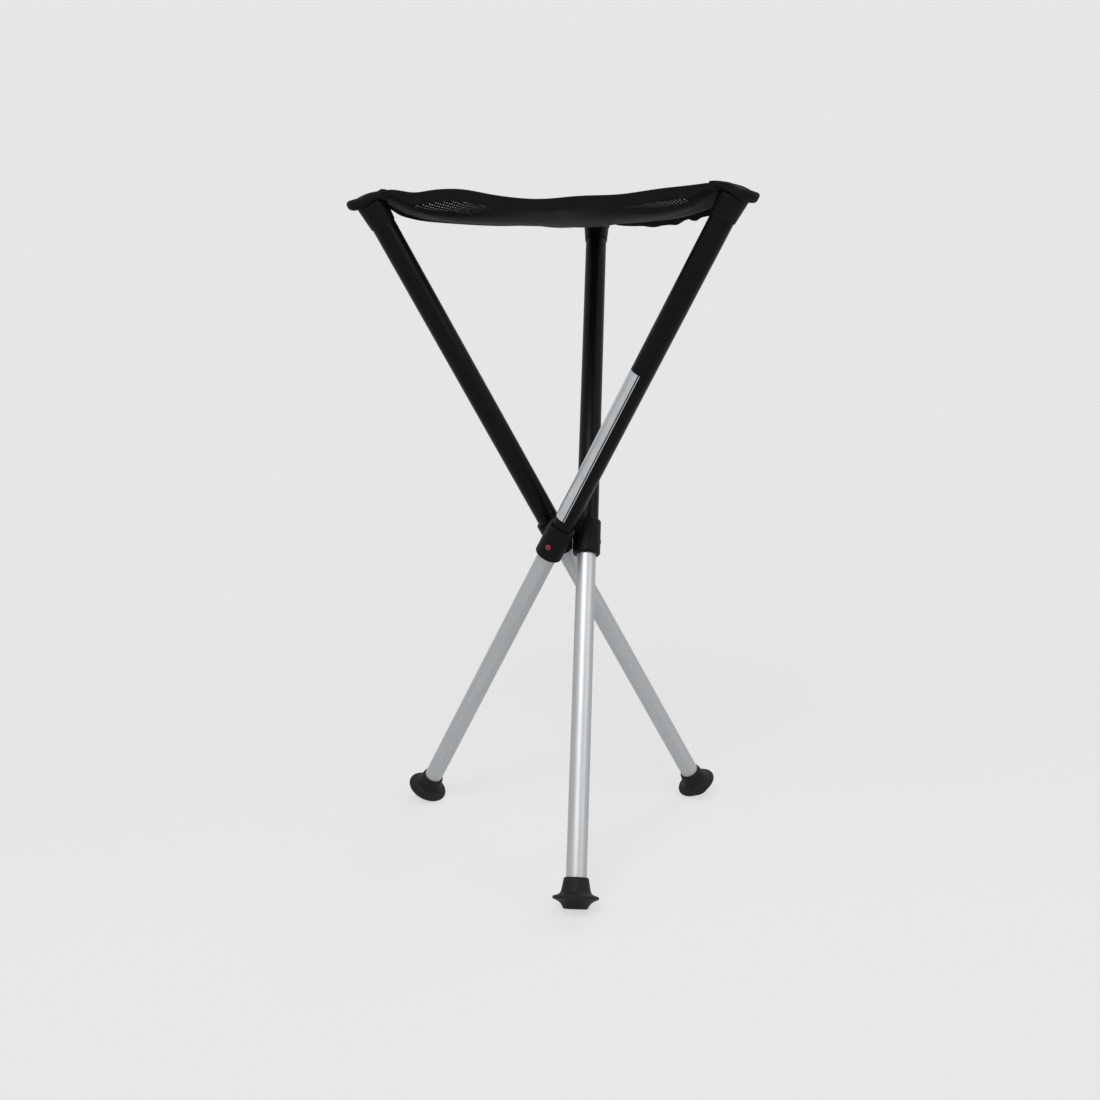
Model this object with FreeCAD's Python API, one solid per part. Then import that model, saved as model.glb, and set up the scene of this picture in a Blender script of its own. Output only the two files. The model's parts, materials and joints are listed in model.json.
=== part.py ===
import FreeCAD, Part
import math
import os
from FreeCAD import Placement, Rotation, Vector

# Folding stool on three crossing telescopic legs, with a triangular fabric seat.
# Millimetres, +Z up. The legs stand on z = 0 and the origin is the middle of the
# box's underside. Each leg is modelled upright on its own axis, with its pivot at
# the local origin, local +X pointing away from the stool's axis and +Z up the leg.

# Leg geometry
LEG_NAMES = ("c", "a", "b")
LEG_TILT = 30.19
HUB_OFFSET = 24.76
UPPER_LENGTH = 441.1
LOWER_LENGTH = 426.7
STROKE = 290.0

# Tubes
UPPER_OD = 26.6
UPPER_WALL = 1.3
LOWER_OD = 23.0
LOWER_WALL = 1.3

# Clearances
SLIDE_GAP = 0.15
SEAT_GAP = 0.05
RUNNING_GAP = 0.05
FACE_GAP = 0.1
FABRIC_GAP = 1.4
SEAM_GAP = 0.3
END_ROOM = 16.0

# Collar at the lower end of each upper tube
COLLAR_OD = 33.0
COLLAR_ABOVE = 22.5
COLLAR_BELOW = 20.5
COLLAR_SEAT = 7.0
COLLAR_LOWER_ROUND = 3.0
COLLAR_UPPER_ROUND = 1.2
PIVOT_BOSS_D = 14.0

# Pivot
PIN_D = 5.0
PIN_HEAD_D = 8.8
PIN_HEAD_T = 2.2
PIN_INNER_END = 2.2
PIN_SOCKET_D = 3.0
PIN_SOCKET_DEPTH = 1.3
WASHER_D = 12.0
WASHER_T = 0.8
CORE_HEIGHT = 24.0
CORE_D = 23.0
CORE_ROUND = 1.5

# Lock button and its latch spring
BUTTON_TURN = 12.0
BUTTON_BELOW = 3.0
BUTTON_D = 7.0
BUTTON_PROUD = 0.4
BUTTON_TRAVEL = 1.0
BUTTON_HEAD_T = 1.8
BUTTON_DOME = 0.5
BUTTON_STEM_D = 3.0
BUTTON_TIP_ROOM = 0.4
RECESS_D = 9.6
RECESS_DEPTH = 0.8
POCKET_FLOOR = 1.2
GROOVE_W = 0.9
GROOVE_DEPTH = 0.45
LATCH_D = 4.6
LATCH_SUNK = 0.1
SPRING_W = 6.5
SPRING_T = 0.8
SPRING_LEG = 34.0
SPRING_TIP = 9.0

# Guide bush on the inner end of each lower tube
BUSH_HEIGHT = 6.0
BUSH_DEPTH = 14.0
BUSH_BORE_D = 15.0

# Cap at the top of each upper tube
CAP_TOP_D = 33.0
CAP_BOTTOM_D = 28.6
CAP_SKIRT = 23.4
CAP_TOP_T = 2.2
CAP_PLUG = 20.0
CAP_ROUND = 0.8
SCREW_HOLE_D = 4.0

# Sewn corner of the seat, with its washer and screw
PAD_T = 9.0
PAD_NOSE = 29.5
PAD_HALF_W = 16.0
PAD_INNER = 13.0
PAD_INNER_HALF_W = 23.0
PAD_ROUND = 3.4
PAD_HOLE_D = 6.4
PAD_RECESS = 3.8
SCREW_D = 4.0
SCREW_HEAD_D = 9.5
SCREW_HEAD_T = 2.4
SCREW_LENGTH = 18.0
CUP_WASHER_D = 14.0
CUP_WASHER_T = 1.2

# Seat fabric
NET_T = 1.6
CENTRE_SAG = 30.0
EDGE_SAG = 13.0
EDGE_HOLLOW = 16.0
HEM_T = 3.2
HEM_DEPTH = 13.0
HEM_PROUD = 1.4
SPINE_POWER = 1.8
EDGE_POWER = 3.0
ALONG_POLES = 8
ACROSS_POLES = 5
MESH_PITCH = 18.0
MESH_OPENING = 12.0
MESH_RIM = 4.5

# Rubber foot
FOOT_NECK_D = 26.6
FOOT_NECK_BASE_D = 31.0
FOOT_CONE_D = 40.0
FOOT_FLANGE_D = 51.0
FOOT_BOSS_D = 27.0
FOOT_BOSS_TOP_D = 43.0
FOOT_BOSS_H = 11.0
FOOT_FLANGE_T = 3.8
FOOT_CONE_H = 5.2
FOOT_NECK_H = 13.0
FOOT_FLOOR_T = 8.0
FOOT_WASHER_T = 1.5
FLOOR_FLAT = 1.6

# Bare foil strip on one upper tube
STRIP_START = 34.0
STRIP_END = 232.0
STRIP_T = 0.3
STRIP_TURN = -15.0
STRIP_HALF_ANGLE = 40.0
STRIP_LEG = "b"

X_AXIS = Vector(1, 0, 0)
Z_AXIS = Vector(0, 0, 1)
SIDES = (-1, 1)

upper_r = UPPER_OD / 2
upper_bore_r = upper_r - UPPER_WALL
lower_r = LOWER_OD / 2
lower_bore_r = lower_r - LOWER_WALL
collar_r = COLLAR_OD / 2
guide_r = lower_r + SLIDE_GAP
tilt = math.radians(LEG_TILT)
hub_height = (LOWER_LENGTH * math.cos(tilt) + FOOT_BOSS_D / 2 * math.sin(tilt)
              - FLOOR_FLAT)
insert_length = UPPER_LENGTH - CAP_PLUG - STROKE - END_ROOM
cap_top = UPPER_LENGTH + CAP_TOP_T
recess_floor = cap_top + PAD_T - PAD_RECESS
spread = math.sin(tilt) * cap_top
pad_turn = math.degrees(math.atan2(HUB_OFFSET, spread * math.cos(tilt)))


def cylinder(radius, low, high, direction=Z_AXIS):
    """A cylinder about the local origin's axis, between two heights along it."""
    return Part.makeCylinder(radius, high - low, direction * low, direction)


def ring(outer, inner, low, high, direction=Z_AXIS):
    """A tube between two heights along an axis through the local origin."""
    return cylinder(outer, low, high, direction).cut(
        cylinder(inner, low, high, direction))


def revolved(points):
    """A solid of revolution about Z from its (radius, height) outline."""
    corners = [Vector(radius, 0, height) for radius, height in points]
    face = Part.Face(Part.makePolygon(corners + corners[:1]))
    return face.revolve(Vector(), Z_AXIS, 360)


def edges_at(shape, height, radius):
    """The round edges of one radius that lie at one height."""
    return [edge for edge in shape.Edges
            if isinstance(edge.Curve, Part.Circle)
            and abs(edge.BoundBox.ZMin - height) < 1e-4
            and abs(edge.BoundBox.ZMax - height) < 1e-4
            and abs(edge.Curve.Radius - radius) < 1e-4]


def leg_place(turn):
    """Where a leg's own frame stands, for a leg turned about the stool's axis."""
    hub = Placement(Vector(0, 0, hub_height), Rotation(Z_AXIS, turn))
    return hub * Placement(Vector(HUB_OFFSET, 0, 0), Rotation(X_AXIS, -LEG_TILT))


def upper_tube():
    return ring(upper_r, upper_bore_r, COLLAR_SEAT, UPPER_LENGTH)


def lower_tube():
    tube = ring(lower_r, lower_bore_r, tube_end, insert_length)
    hole = cylinder(LATCH_D / 2 + RUNNING_GAP, 0, lower_r + 1, button_direction)
    hole.translate(Vector(0, 0, -BUTTON_BELOW))
    return tube.cut(hole)


def guide_bush():
    """Flanged plug in the inner end of the lower tube, running in the upper tube."""
    flange = cylinder(upper_bore_r - SLIDE_GAP, insert_length, insert_length + BUSH_HEIGHT)
    plug = cylinder(lower_bore_r - SEAT_GAP, insert_length - BUSH_DEPTH, insert_length)
    bore = cylinder(BUSH_BORE_D / 2, insert_length - BUSH_DEPTH, insert_length + BUSH_HEIGHT)
    return flange.fuse(plug).cut(bore).removeSplitter()


def collar():
    """Moulded sleeve that ends the upper tube, guides the lower one and pivots."""
    body = cylinder(collar_r, -COLLAR_BELOW, COLLAR_ABOVE)
    body = body.makeFillet(COLLAR_LOWER_ROUND, edges_at(body, -COLLAR_BELOW, collar_r))
    body = body.makeFillet(COLLAR_UPPER_ROUND, edges_at(body, COLLAR_ABOVE, collar_r))
    boss = cylinder(PIVOT_BOSS_D / 2, -collar_r, -guide_r, X_AXIS)
    body = body.fuse(boss).removeSplitter()
    body = body.cut(cylinder(guide_r, -COLLAR_BELOW, COLLAR_SEAT))
    body = body.cut(cylinder(upper_r + SEAT_GAP, COLLAR_SEAT, COLLAR_ABOVE))
    body = body.cut(cylinder(PIN_D / 2 + RUNNING_GAP, -collar_r, 0, X_AXIS))
    body = body.cut(cylinder(PIN_HEAD_D / 2 + 2 * FACE_GAP, head_under - FACE_GAP, 0, X_AXIS))
    return body.cut(button_pocket()).removeSplitter()


def button_pocket():
    """Recess, pocket, stem hole and marker groove that the lock button needs."""
    recess = cylinder(RECESS_D / 2, collar_r - RECESS_DEPTH, collar_r + 1, button_direction)
    pocket = cylinder(BUTTON_D / 2 + 2 * RUNNING_GAP, pocket_floor, collar_r, button_direction)
    stem = cylinder(BUTTON_STEM_D / 2 + 2 * RUNNING_GAP, 0, pocket_floor, button_direction)
    cut = recess.fuse(pocket).fuse(stem)
    cut.translate(Vector(0, 0, -BUTTON_BELOW))
    groove = Part.makeBox(GROOVE_DEPTH + 1, GROOVE_W, COLLAR_ABOVE + BUTTON_BELOW)
    groove.translate(Vector(collar_r - GROOVE_DEPTH, -GROOVE_W / 2, -BUTTON_BELOW))
    groove.rotate(Vector(), Z_AXIS, BUTTON_TURN)
    return cut.fuse(groove)


def lock_button():
    """Domed push button with the stem that reaches the latch."""
    face = collar_r + BUTTON_PROUD
    head = cylinder(BUTTON_D / 2, face - BUTTON_HEAD_T, face, Z_AXIS)
    head = head.makeFillet(BUTTON_DOME, edges_at(head, face, BUTTON_D / 2))
    stem = cylinder(BUTTON_STEM_D / 2, stem_tip, face - BUTTON_HEAD_T, Z_AXIS)
    button = head.fuse(stem).removeSplitter()
    button.Placement = (Placement(Vector(0, 0, -BUTTON_BELOW), Rotation())
                        * Placement(Vector(), Rotation(Z_AXIS, button_direction)))
    return button


def lock_spring():
    """Hairpin leaf inside the lower tube, with the latch pin on one leaf."""
    half = SPRING_W / 2
    reach = math.sqrt(lower_bore_r ** 2 - half ** 2) - SEAT_GAP
    inner = reach - SPRING_T
    top = SPRING_TIP
    bend = top - SPRING_LEG
    outline = [Vector(reach, 0, top), Vector(reach, 0, bend)]
    outer_arc = Part.Arc(Vector(reach, 0, bend), Vector(0, 0, bend - reach), Vector(-reach, 0, bend))
    inner_arc = Part.Arc(Vector(-inner, 0, bend), Vector(0, 0, bend - inner), Vector(inner, 0, bend))
    wire = Part.Wire([
        Part.makeLine(outline[0], outline[1]),
        outer_arc.toShape(),
        Part.makeLine(Vector(-reach, 0, bend), Vector(-reach, 0, top)),
        Part.makeLine(Vector(-reach, 0, top), Vector(-inner, 0, top)),
        Part.makeLine(Vector(-inner, 0, top), Vector(-inner, 0, bend)),
        inner_arc.toShape(),
        Part.makeLine(Vector(inner, 0, bend), Vector(inner, 0, top)),
        Part.makeLine(Vector(inner, 0, top), outline[0]),
    ])
    leaf = Part.Face(wire).extrude(Vector(0, SPRING_W, 0))
    leaf.translate(Vector(0, -half, 0))
    pin = cylinder(LATCH_D / 2, inner + SPRING_T / 2, lower_r - LATCH_SUNK, X_AXIS)
    spring = leaf.fuse(pin).removeSplitter()
    spring.Placement = Placement(Vector(0, 0, -BUTTON_BELOW), Rotation(Z_AXIS, BUTTON_TURN))
    return spring


def top_cap():
    """Tapered sleeve over the tube's end, with the plug that takes the corner screw."""
    low = UPPER_LENGTH - CAP_SKIRT
    outline = [(0, low), (CAP_BOTTOM_D / 2, low), (CAP_TOP_D / 2, cap_top), (0, cap_top)]
    body = revolved(outline)
    body = body.makeFillet(CAP_ROUND, edges_at(body, cap_top, CAP_TOP_D / 2))
    body = body.cut(ring(upper_r + SEAT_GAP, upper_bore_r - SEAT_GAP, low, UPPER_LENGTH))
    plug_end = UPPER_LENGTH - CAP_PLUG
    body = body.cut(cylinder(upper_r, low, plug_end))
    return body.cut(cylinder(SCREW_HOLE_D / 2 + SEAT_GAP, plug_end, cap_top)).removeSplitter()


def corner_pad():
    """Folded and sewn webbing end of the seat, on the cap's top face."""
    straight = PAD_NOSE - PAD_HALF_W
    inner = -PAD_INNER
    left = Vector(-PAD_HALF_W, straight, 0)
    right = Vector(PAD_HALF_W, straight, 0)
    waist_left = Vector(-PAD_HALF_W, 0, 0)
    waist_right = Vector(PAD_HALF_W, 0, 0)
    end_left = Vector(-PAD_INNER_HALF_W, inner, 0)
    end_right = Vector(PAD_INNER_HALF_W, inner, 0)
    wire = Part.Wire([
        Part.Arc(left, Vector(0, PAD_NOSE, 0), right).toShape(),
        Part.makeLine(right, waist_right),
        Part.makeLine(waist_right, end_right),
        Part.makeLine(end_right, end_left),
        Part.makeLine(end_left, waist_left),
        Part.makeLine(waist_left, left),
    ])
    pad = Part.Face(wire).extrude(Vector(0, 0, PAD_T))
    rims = [edge for edge in pad.Edges
            if edge.BoundBox.ZLength < 1e-4 and edge.BoundBox.YMax > inner + 1]
    pad = pad.makeFillet(PAD_ROUND, rims)
    pad = pad.cut(cylinder(PAD_HOLE_D / 2, 0, PAD_T))
    pad = pad.cut(cylinder(CUP_WASHER_D / 2 + SEAM_GAP, PAD_T - PAD_RECESS, PAD_T))
    pad.Placement = Placement(Vector(0, 0, cap_top), Rotation(Z_AXIS, -pad_turn))
    return pad


def corner_washer():
    return ring(CUP_WASHER_D / 2, SCREW_D / 2 + SEAT_GAP, recess_floor,
                recess_floor + CUP_WASHER_T)


def corner_screw():
    """Pan-head screw that clamps the sewn corner to the cap's plug."""
    seat = recess_floor + CUP_WASHER_T
    head = cylinder(SCREW_HEAD_D / 2, seat, seat + SCREW_HEAD_T)
    head = head.makeFillet(SCREW_HEAD_T / 2, edges_at(head, seat + SCREW_HEAD_T, SCREW_HEAD_D / 2))
    shank = cylinder(SCREW_D / 2, seat - SCREW_LENGTH, seat)
    slot = Part.makeBox(SCREW_HEAD_D, SCREW_HEAD_T / 2, SCREW_HEAD_T)
    slot.translate(Vector(-SCREW_HEAD_D / 2, -SCREW_HEAD_T / 4, seat + SCREW_HEAD_T / 2))
    return head.fuse(shank).cut(slot).removeSplitter()


def foot():
    """Rubber foot with a wide skirt, pushed on to the lower tube's end."""
    bottom = -LOWER_LENGTH
    skirt = bottom + FOOT_BOSS_H
    cone = skirt + FOOT_FLANGE_T
    neck = cone + FOOT_CONE_H
    lip = FOOT_FLANGE_T / 3
    body = revolved([
        (0, bottom),
        (FOOT_BOSS_D / 2, bottom),
        (FOOT_BOSS_TOP_D / 2, skirt),
        (FOOT_FLANGE_D / 2 - lip, skirt),
        (FOOT_FLANGE_D / 2, skirt + lip),
        (FOOT_FLANGE_D / 2, cone - lip),
        (FOOT_FLANGE_D / 2 - lip, cone),
        (FOOT_CONE_D / 2, cone),
        (FOOT_NECK_BASE_D / 2, neck),
        (FOOT_NECK_D / 2, neck + FOOT_NECK_H),
        (0, neck + FOOT_NECK_H),
    ])
    return body.cut(cylinder(lower_r + SEAT_GAP, bottom + FOOT_FLOOR_T, neck + FOOT_NECK_H))


def foot_washer():
    low = -LOWER_LENGTH + FOOT_FLOOR_T
    return cylinder(lower_r - SLIDE_GAP, low, low + FOOT_WASHER_T)


def foil_strip():
    """Bare foil strip that follows the upper tube's round."""
    strip = ring(upper_r + SEAT_GAP + STRIP_T, upper_r + SEAT_GAP, STRIP_START, STRIP_END)
    wedge = Part.makeCylinder(COLLAR_OD, STRIP_END, Vector(), Z_AXIS, 2 * STRIP_HALF_ANGLE)
    wedge.rotate(Vector(), Z_AXIS, STRIP_TURN - STRIP_HALF_ANGLE)
    return strip.common(wedge)


def pivot_screw():
    """Shoulder screw from inside the collar into the hub core."""
    head = cylinder(PIN_HEAD_D / 2, head_under, head_face, X_AXIS)
    shank = cylinder(PIN_D / 2, PIN_INNER_END - HUB_OFFSET, head_under, X_AXIS)
    socket = cylinder(PIN_SOCKET_D / 2, head_face - PIN_SOCKET_DEPTH, head_face, X_AXIS)
    return head.fuse(shank).cut(socket).removeSplitter()


def pivot_washer():
    return ring(WASHER_D / 2, PIN_D / 2 + SEAT_GAP, core_face, core_face + WASHER_T, X_AXIS)


def hub_core():
    """Three-sided block on the stool's axis that the pivot screws thread into."""
    core = cylinder(CORE_D / 2, -CORE_HEIGHT / 2, CORE_HEIGHT / 2)
    core = core.makeChamfer(CORE_ROUND, edges_at(core, CORE_HEIGHT / 2, CORE_D / 2)
                            + edges_at(core, -CORE_HEIGHT / 2, CORE_D / 2))
    face = HUB_OFFSET + core_face
    for turn in leg_turns:
        side = Part.makeBox(CORE_D, 2 * CORE_D, 2 * CORE_HEIGHT)
        side.translate(Vector(face, -CORE_D, -CORE_HEIGHT))
        hole = cylinder(PIN_D / 2 + SEAT_GAP, PIN_INNER_END, CORE_D, X_AXIS)
        for cutter in (side, hole):
            cutter.rotate(Vector(), Z_AXIS, turn)
            core = core.cut(cutter)
    core.translate(Vector(0, 0, hub_height))
    return core


def mixed(start, end, share):
    """The point a share of the way from one point to another."""
    return start + (end - start) * share


def at_height(point, height):
    return Vector(point.x, point.y, height)


def spline_face(rows):
    """A smooth face from rows of control points, with ends that meet their rows."""
    def knots(count, degree):
        inner = count - degree
        return list(range(inner + 1)), [degree + 1] + [1] * (inner - 1) + [degree + 1]

    degrees = [min(3, len(rows) - 1), min(3, len(rows[0]) - 1)]
    u_knots, u_mults = knots(len(rows), degrees[0])
    v_knots, v_mults = knots(len(rows[0]), degrees[1])
    surface = Part.BSplineSurface()
    surface.buildFromPolesMultsKnots(rows, u_mults, v_mults, u_knots, v_knots,
                                     False, False, degrees[0], degrees[1])
    return surface.toShape()


def thick_patch(rows, thickness):
    """A solid between a grid of points and the same grid set lower."""
    drop = Vector(0, 0, -thickness)
    under = [[point + drop for point in row] for row in rows]
    sides = [(rows[0], under[0]), (rows[-1], under[-1]),
             ([row[0] for row in rows], [row[0] for row in under]),
             ([row[-1] for row in rows], [row[-1] for row in under])]
    faces = [spline_face(rows), spline_face(under)]
    faces += [spline_face([upper, lower]) for upper, lower in sides]
    shell = Part.Shell(faces)
    shell.sewShape()
    solid = Part.Solid(shell)
    if solid.Volume < 0:
        solid.reverse()
    return solid


class SeatShape:
    """Control points of the third of the seat that hangs from the leg at turn 0."""

    def __init__(self):
        place = leg_place(0)
        pad = Placement(Vector(0, 0, cap_top + PAD_T / 2), Rotation(Z_AXIS, -pad_turn))
        start = -(PAD_INNER + FABRIC_GAP)
        self.middle = (place * pad).multVec(Vector(0, start, 0))
        self.corners = {side: (place * pad).multVec(Vector(side * PAD_INNER_HALF_W, start, 0))
                        for side in SIDES}
        self.level = self.middle.z
        self.first = SEAM_GAP / at_height(self.middle, 0).Length
        self.centre = Vector(0, 0, self.level - CENTRE_SAG)

    def spine(self, share):
        point = mixed(self.centre, self.middle, share)
        return at_height(point, self.level - CENTRE_SAG * (1 - share ** SPINE_POWER))

    def edge(self, side, share, outward=0.0):
        """A point of the seat's edge, from half way to the next corner (share 0)."""
        corner = self.corners[side]
        heading = Rotation(Z_AXIS, -60 * side).multVec(at_height(self.middle, 0))
        heading.normalize()
        straight = heading * at_height(corner, 0).dot(heading)
        hollow = EDGE_HOLLOW * (1 - share ** 2)
        point = mixed(straight, corner, share) + heading * (outward - hollow)
        rise = share ** EDGE_POWER
        return at_height(point, self.level - EDGE_SAG * (1 - rise)
                         + (corner.z - self.level) * rise)

    def shares(self):
        """Even steps out along the third, which starts a seam's width from its neighbours."""
        return [self.first + (1 - self.first) * i / (ALONG_POLES - 1) for i in range(ALONG_POLES)]

    def net_rows(self, side):
        rows = []
        for along in self.shares():
            spine, edge = self.spine(along), self.edge(side, along)
            row = []
            for j in range(ACROSS_POLES):
                across = j / (ACROSS_POLES - 1)
                height = spine.z + (edge.z - spine.z) * across ** 2
                row.append(at_height(mixed(spine, edge, across), height))
            rows.append(row)
        return rows

    def plan(self):
        """The third's flat outline, as seen from above."""
        rim = [self.spine(self.first)]
        rim += [self.edge(SIDES[0], along) for along in self.shares()]
        rim += [self.edge(SIDES[1], along) for along in reversed(self.shares())]
        corners = [at_height(point, 0) for point in rim]
        return Part.Face(Part.makePolygon(corners + corners[:1]))

    def hem_rows(self, side):
        rows = []
        lift = Vector(0, 0, HEM_PROUD)
        for along in self.shares():
            rows.append([self.edge(side, along, offset) + lift
                         for offset in (SEAT_GAP * 2, SEAT_GAP * 2 + HEM_T)])
        return rows


def net_openings(seat):
    """Upright square prisms, one through each opening of a third of the net."""
    outward = at_height(seat.middle, 0)
    steps = math.ceil(outward.Length / MESH_PITCH)
    outward.normalize()
    across = Z_AXIS.cross(outward)
    region = seat.plan().makeOffset2D(-MESH_RIM)
    half = MESH_OPENING / 2
    prisms = []
    for row in range(steps):
        for column in range(-steps, steps):
            centre = (outward * (row + 0.5) + across * (column + 0.5)) * MESH_PITCH
            corners = [centre + outward * (x * half) + across * (y * half)
                       for x, y in ((-1, -1), (1, -1), (1, 1), (-1, 1))]
            if all(region.isInside(corner, FACE_GAP, True) for corner in corners):
                face = Part.Face(Part.makePolygon(corners + corners[:1]))
                prisms.append(face.extrude(Z_AXIS * (2 * seat.level)))
    return Part.makeCompound(prisms)


def seat_net(seat):
    """Both halves of one third of the seat's net, with a plain grid of openings."""
    halves = [thick_patch(seat.net_rows(side), NET_T) for side in SIDES]
    return halves[0].fuse(halves[1]).cut(net_openings(seat))


def seat_hem(seat):
    """The turned-down hem along both edges of one third of the seat."""
    return Part.makeCompound([thick_patch(seat.hem_rows(side), HEM_DEPTH) for side in SIDES])


tube_end = -LOWER_LENGTH + FOOT_FLOOR_T + FOOT_WASHER_T
button_direction = Rotation(Z_AXIS, BUTTON_TURN).multVec(X_AXIS)
pocket_floor = guide_r + POCKET_FLOOR
stem_tip = lower_r + BUTTON_TIP_ROOM + BUTTON_TRAVEL
head_face = -(guide_r + 2 * FACE_GAP)
head_under = head_face - PIN_HEAD_T
core_face = -(collar_r + FACE_GAP + WASHER_T)
leg_turns = [120 * number for number in range(len(LEG_NAMES))]


def build():
    """Every node's shape by name, about the stool's axis."""
    pieces = {
        "upper_tube": upper_tube(),
        "top_cap": top_cap(),
        "corner_pad": corner_pad(),
        "corner_washer": corner_washer(),
        "corner_screw": corner_screw(),
        "collar": collar(),
        "lower_tube": lower_tube(),
        "guide_bush": guide_bush(),
        "foot": foot(),
        "foot_washer": foot_washer(),
        "lock_spring": lock_spring(),
        "lock_button": lock_button(),
        "pivot_screw": pivot_screw(),
        "pivot_washer": pivot_washer(),
    }
    seat = SeatShape()
    fabric = {"seat_net": seat_net(seat), "seat_hem": seat_hem(seat)}
    below = Part.makeBox(2000, 2000, 100, Vector(-1000, -1000, -100))
    nodes = {"hub_core": hub_core()}
    for name, turn in zip(LEG_NAMES, leg_turns):
        place = leg_place(turn)
        for piece, shape in pieces.items():
            nodes[f"{piece}_{name}"] = moved(shape, place)
        nodes[f"foot_{name}"] = nodes[f"foot_{name}"].cut(below)
        spin = Placement(Vector(), Rotation(Z_AXIS, turn))
        for piece, shape in fabric.items():
            nodes[f"{piece}_{name}"] = moved(shape, spin)
        if name == STRIP_LEG:
            nodes["foil_strip"] = moved(foil_strip(), place)
    return nodes


def moved(shape, place):
    """A copy of a shape, carried by a placement."""
    copy = shape.copy()
    copy.Placement = place * copy.Placement
    return copy


def main():
    nodes = build()
    box = Part.makeCompound(list(nodes.values())).optimalBoundingBox()
    to_origin = Placement(Vector(-box.Center.x, -box.Center.y, -box.ZMin), Rotation())
    os.makedirs("parts", exist_ok=True)
    for name, shape in nodes.items():
        moved(shape, to_origin).exportStep(f"parts/{name}.step")
    print(f"{len(nodes)} nodes, stool axis at x {-box.Center.x:.4f}, y {-box.Center.y:.4f}, "
          f"hub height {hub_height - box.ZMin:.4f}, box {box.XLength:.1f} x {box.YLength:.1f} "
          f"x {box.ZLength:.1f}")


main()
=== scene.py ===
"""Looks of a folding tripod stool with a slung mesh seat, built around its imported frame."""

import json
import logging
import math
from dataclasses import dataclass, field
from enum import Enum
from typing import Any, Optional, Sequence, Union

import bpy
import numpy as np
from mathutils import Matrix, Vector


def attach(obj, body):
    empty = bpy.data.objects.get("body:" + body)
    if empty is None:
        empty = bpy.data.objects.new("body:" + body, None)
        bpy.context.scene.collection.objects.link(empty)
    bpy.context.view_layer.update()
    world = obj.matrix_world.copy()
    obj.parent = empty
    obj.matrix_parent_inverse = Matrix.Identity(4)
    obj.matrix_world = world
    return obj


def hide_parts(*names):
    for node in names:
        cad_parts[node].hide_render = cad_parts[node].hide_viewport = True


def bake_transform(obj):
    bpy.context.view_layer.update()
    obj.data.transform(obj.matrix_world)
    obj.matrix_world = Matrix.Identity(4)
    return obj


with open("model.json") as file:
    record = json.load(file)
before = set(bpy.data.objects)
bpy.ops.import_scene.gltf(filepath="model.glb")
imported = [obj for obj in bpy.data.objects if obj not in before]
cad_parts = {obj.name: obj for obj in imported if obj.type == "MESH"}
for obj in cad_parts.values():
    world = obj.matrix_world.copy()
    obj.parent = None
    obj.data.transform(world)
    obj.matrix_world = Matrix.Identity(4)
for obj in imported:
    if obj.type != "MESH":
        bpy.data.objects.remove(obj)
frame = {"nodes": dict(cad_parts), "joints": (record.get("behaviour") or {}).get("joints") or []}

LOG = logging.getLogger("stool")
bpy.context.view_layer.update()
LEG_NAMES = ("a", "b", "c")
SIDES = (-1, 1)
UP = np.array((0.0, 0.0, 1.0))
CHART = "cloth"
Tone = tuple[float, float, float]
Step = tuple[float, float]
Stretch = tuple[float, float, float]
Number = Union[float, "Signal"]
NOISE_MIDDLE = 0.5


# Shaders

class Signal:
    """A shader socket that takes part in Python arithmetic through Math nodes."""

    def __init__(self, nodes: "Nodes", socket: bpy.types.NodeSocket) -> None:
        """Keeps the nodes that the socket belongs to and the socket itself."""
        self.nodes = nodes
        self.socket = socket

    def math(self, operation: str, *others: Number, flipped: bool = False) -> "Signal":
        """Adds one Math node.

        Args:
            operation: The Math node's operation.
            others: The values or signals that follow this one.
            flipped: True puts the other value first.

        Returns:
            The node's result.
        """
        values = [self, *others]
        if flipped:
            values.reverse()
        return self.nodes.signal("ShaderNodeMath", {"operation": operation}, dict(enumerate(values)))

    def __add__(self, other: Number) -> "Signal":
        """Sum."""
        return self.math("ADD", other)

    def __radd__(self, other: Number) -> "Signal":
        """Sum, with the signal second."""
        return self.math("ADD", other)

    def __sub__(self, other: Number) -> "Signal":
        """Difference."""
        return self.math("SUBTRACT", other)

    def __rsub__(self, other: Number) -> "Signal":
        """Difference, with the signal second."""
        return self.math("SUBTRACT", other, flipped=True)

    def __mul__(self, other: Number) -> "Signal":
        """Product."""
        return self.math("MULTIPLY", other)

    def __rmul__(self, other: Number) -> "Signal":
        """Product, with the signal second."""
        return self.math("MULTIPLY", other)

    def __pow__(self, other: Number) -> "Signal":
        """Power."""
        return self.math("POWER", other)

    def sine(self) -> "Signal":
        """Sine of the signal, in radians."""
        return self.math("SINE")

    def size(self) -> "Signal":
        """The signal without its sign."""
        return self.math("ABSOLUTE")

    def most(self, other: Number) -> "Signal":
        """The larger of two values."""
        return self.math("MAXIMUM", other)

    def angle(self, across: "Signal") -> "Signal":
        """Angle of the point (across, this signal), in radians."""
        return self.math("ARCTAN2", across)

    def fade(self, low: float, high: float, start: float = 0.0, end: float = 1.0) -> "Signal":
        """Smooth step between two levels.

        Args:
            low: Where the step starts.
            high: Where the step ends.
            start: Result below the step.
            end: Result above the step.

        Returns:
            The stepped signal.
        """
        return self.nodes.signal(
            "ShaderNodeMapRange", {"interpolation_type": "SMOOTHSTEP"},
            {"Value": self, "From Min": low, "From Max": high, "To Min": start, "To Max": end})

    def swing(self, spread: float) -> "Signal":
        """This noise about zero instead of one half, by a spread."""
        return (self - NOISE_MIDDLE) * spread


Colour = Union[Tone, Signal]


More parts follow.
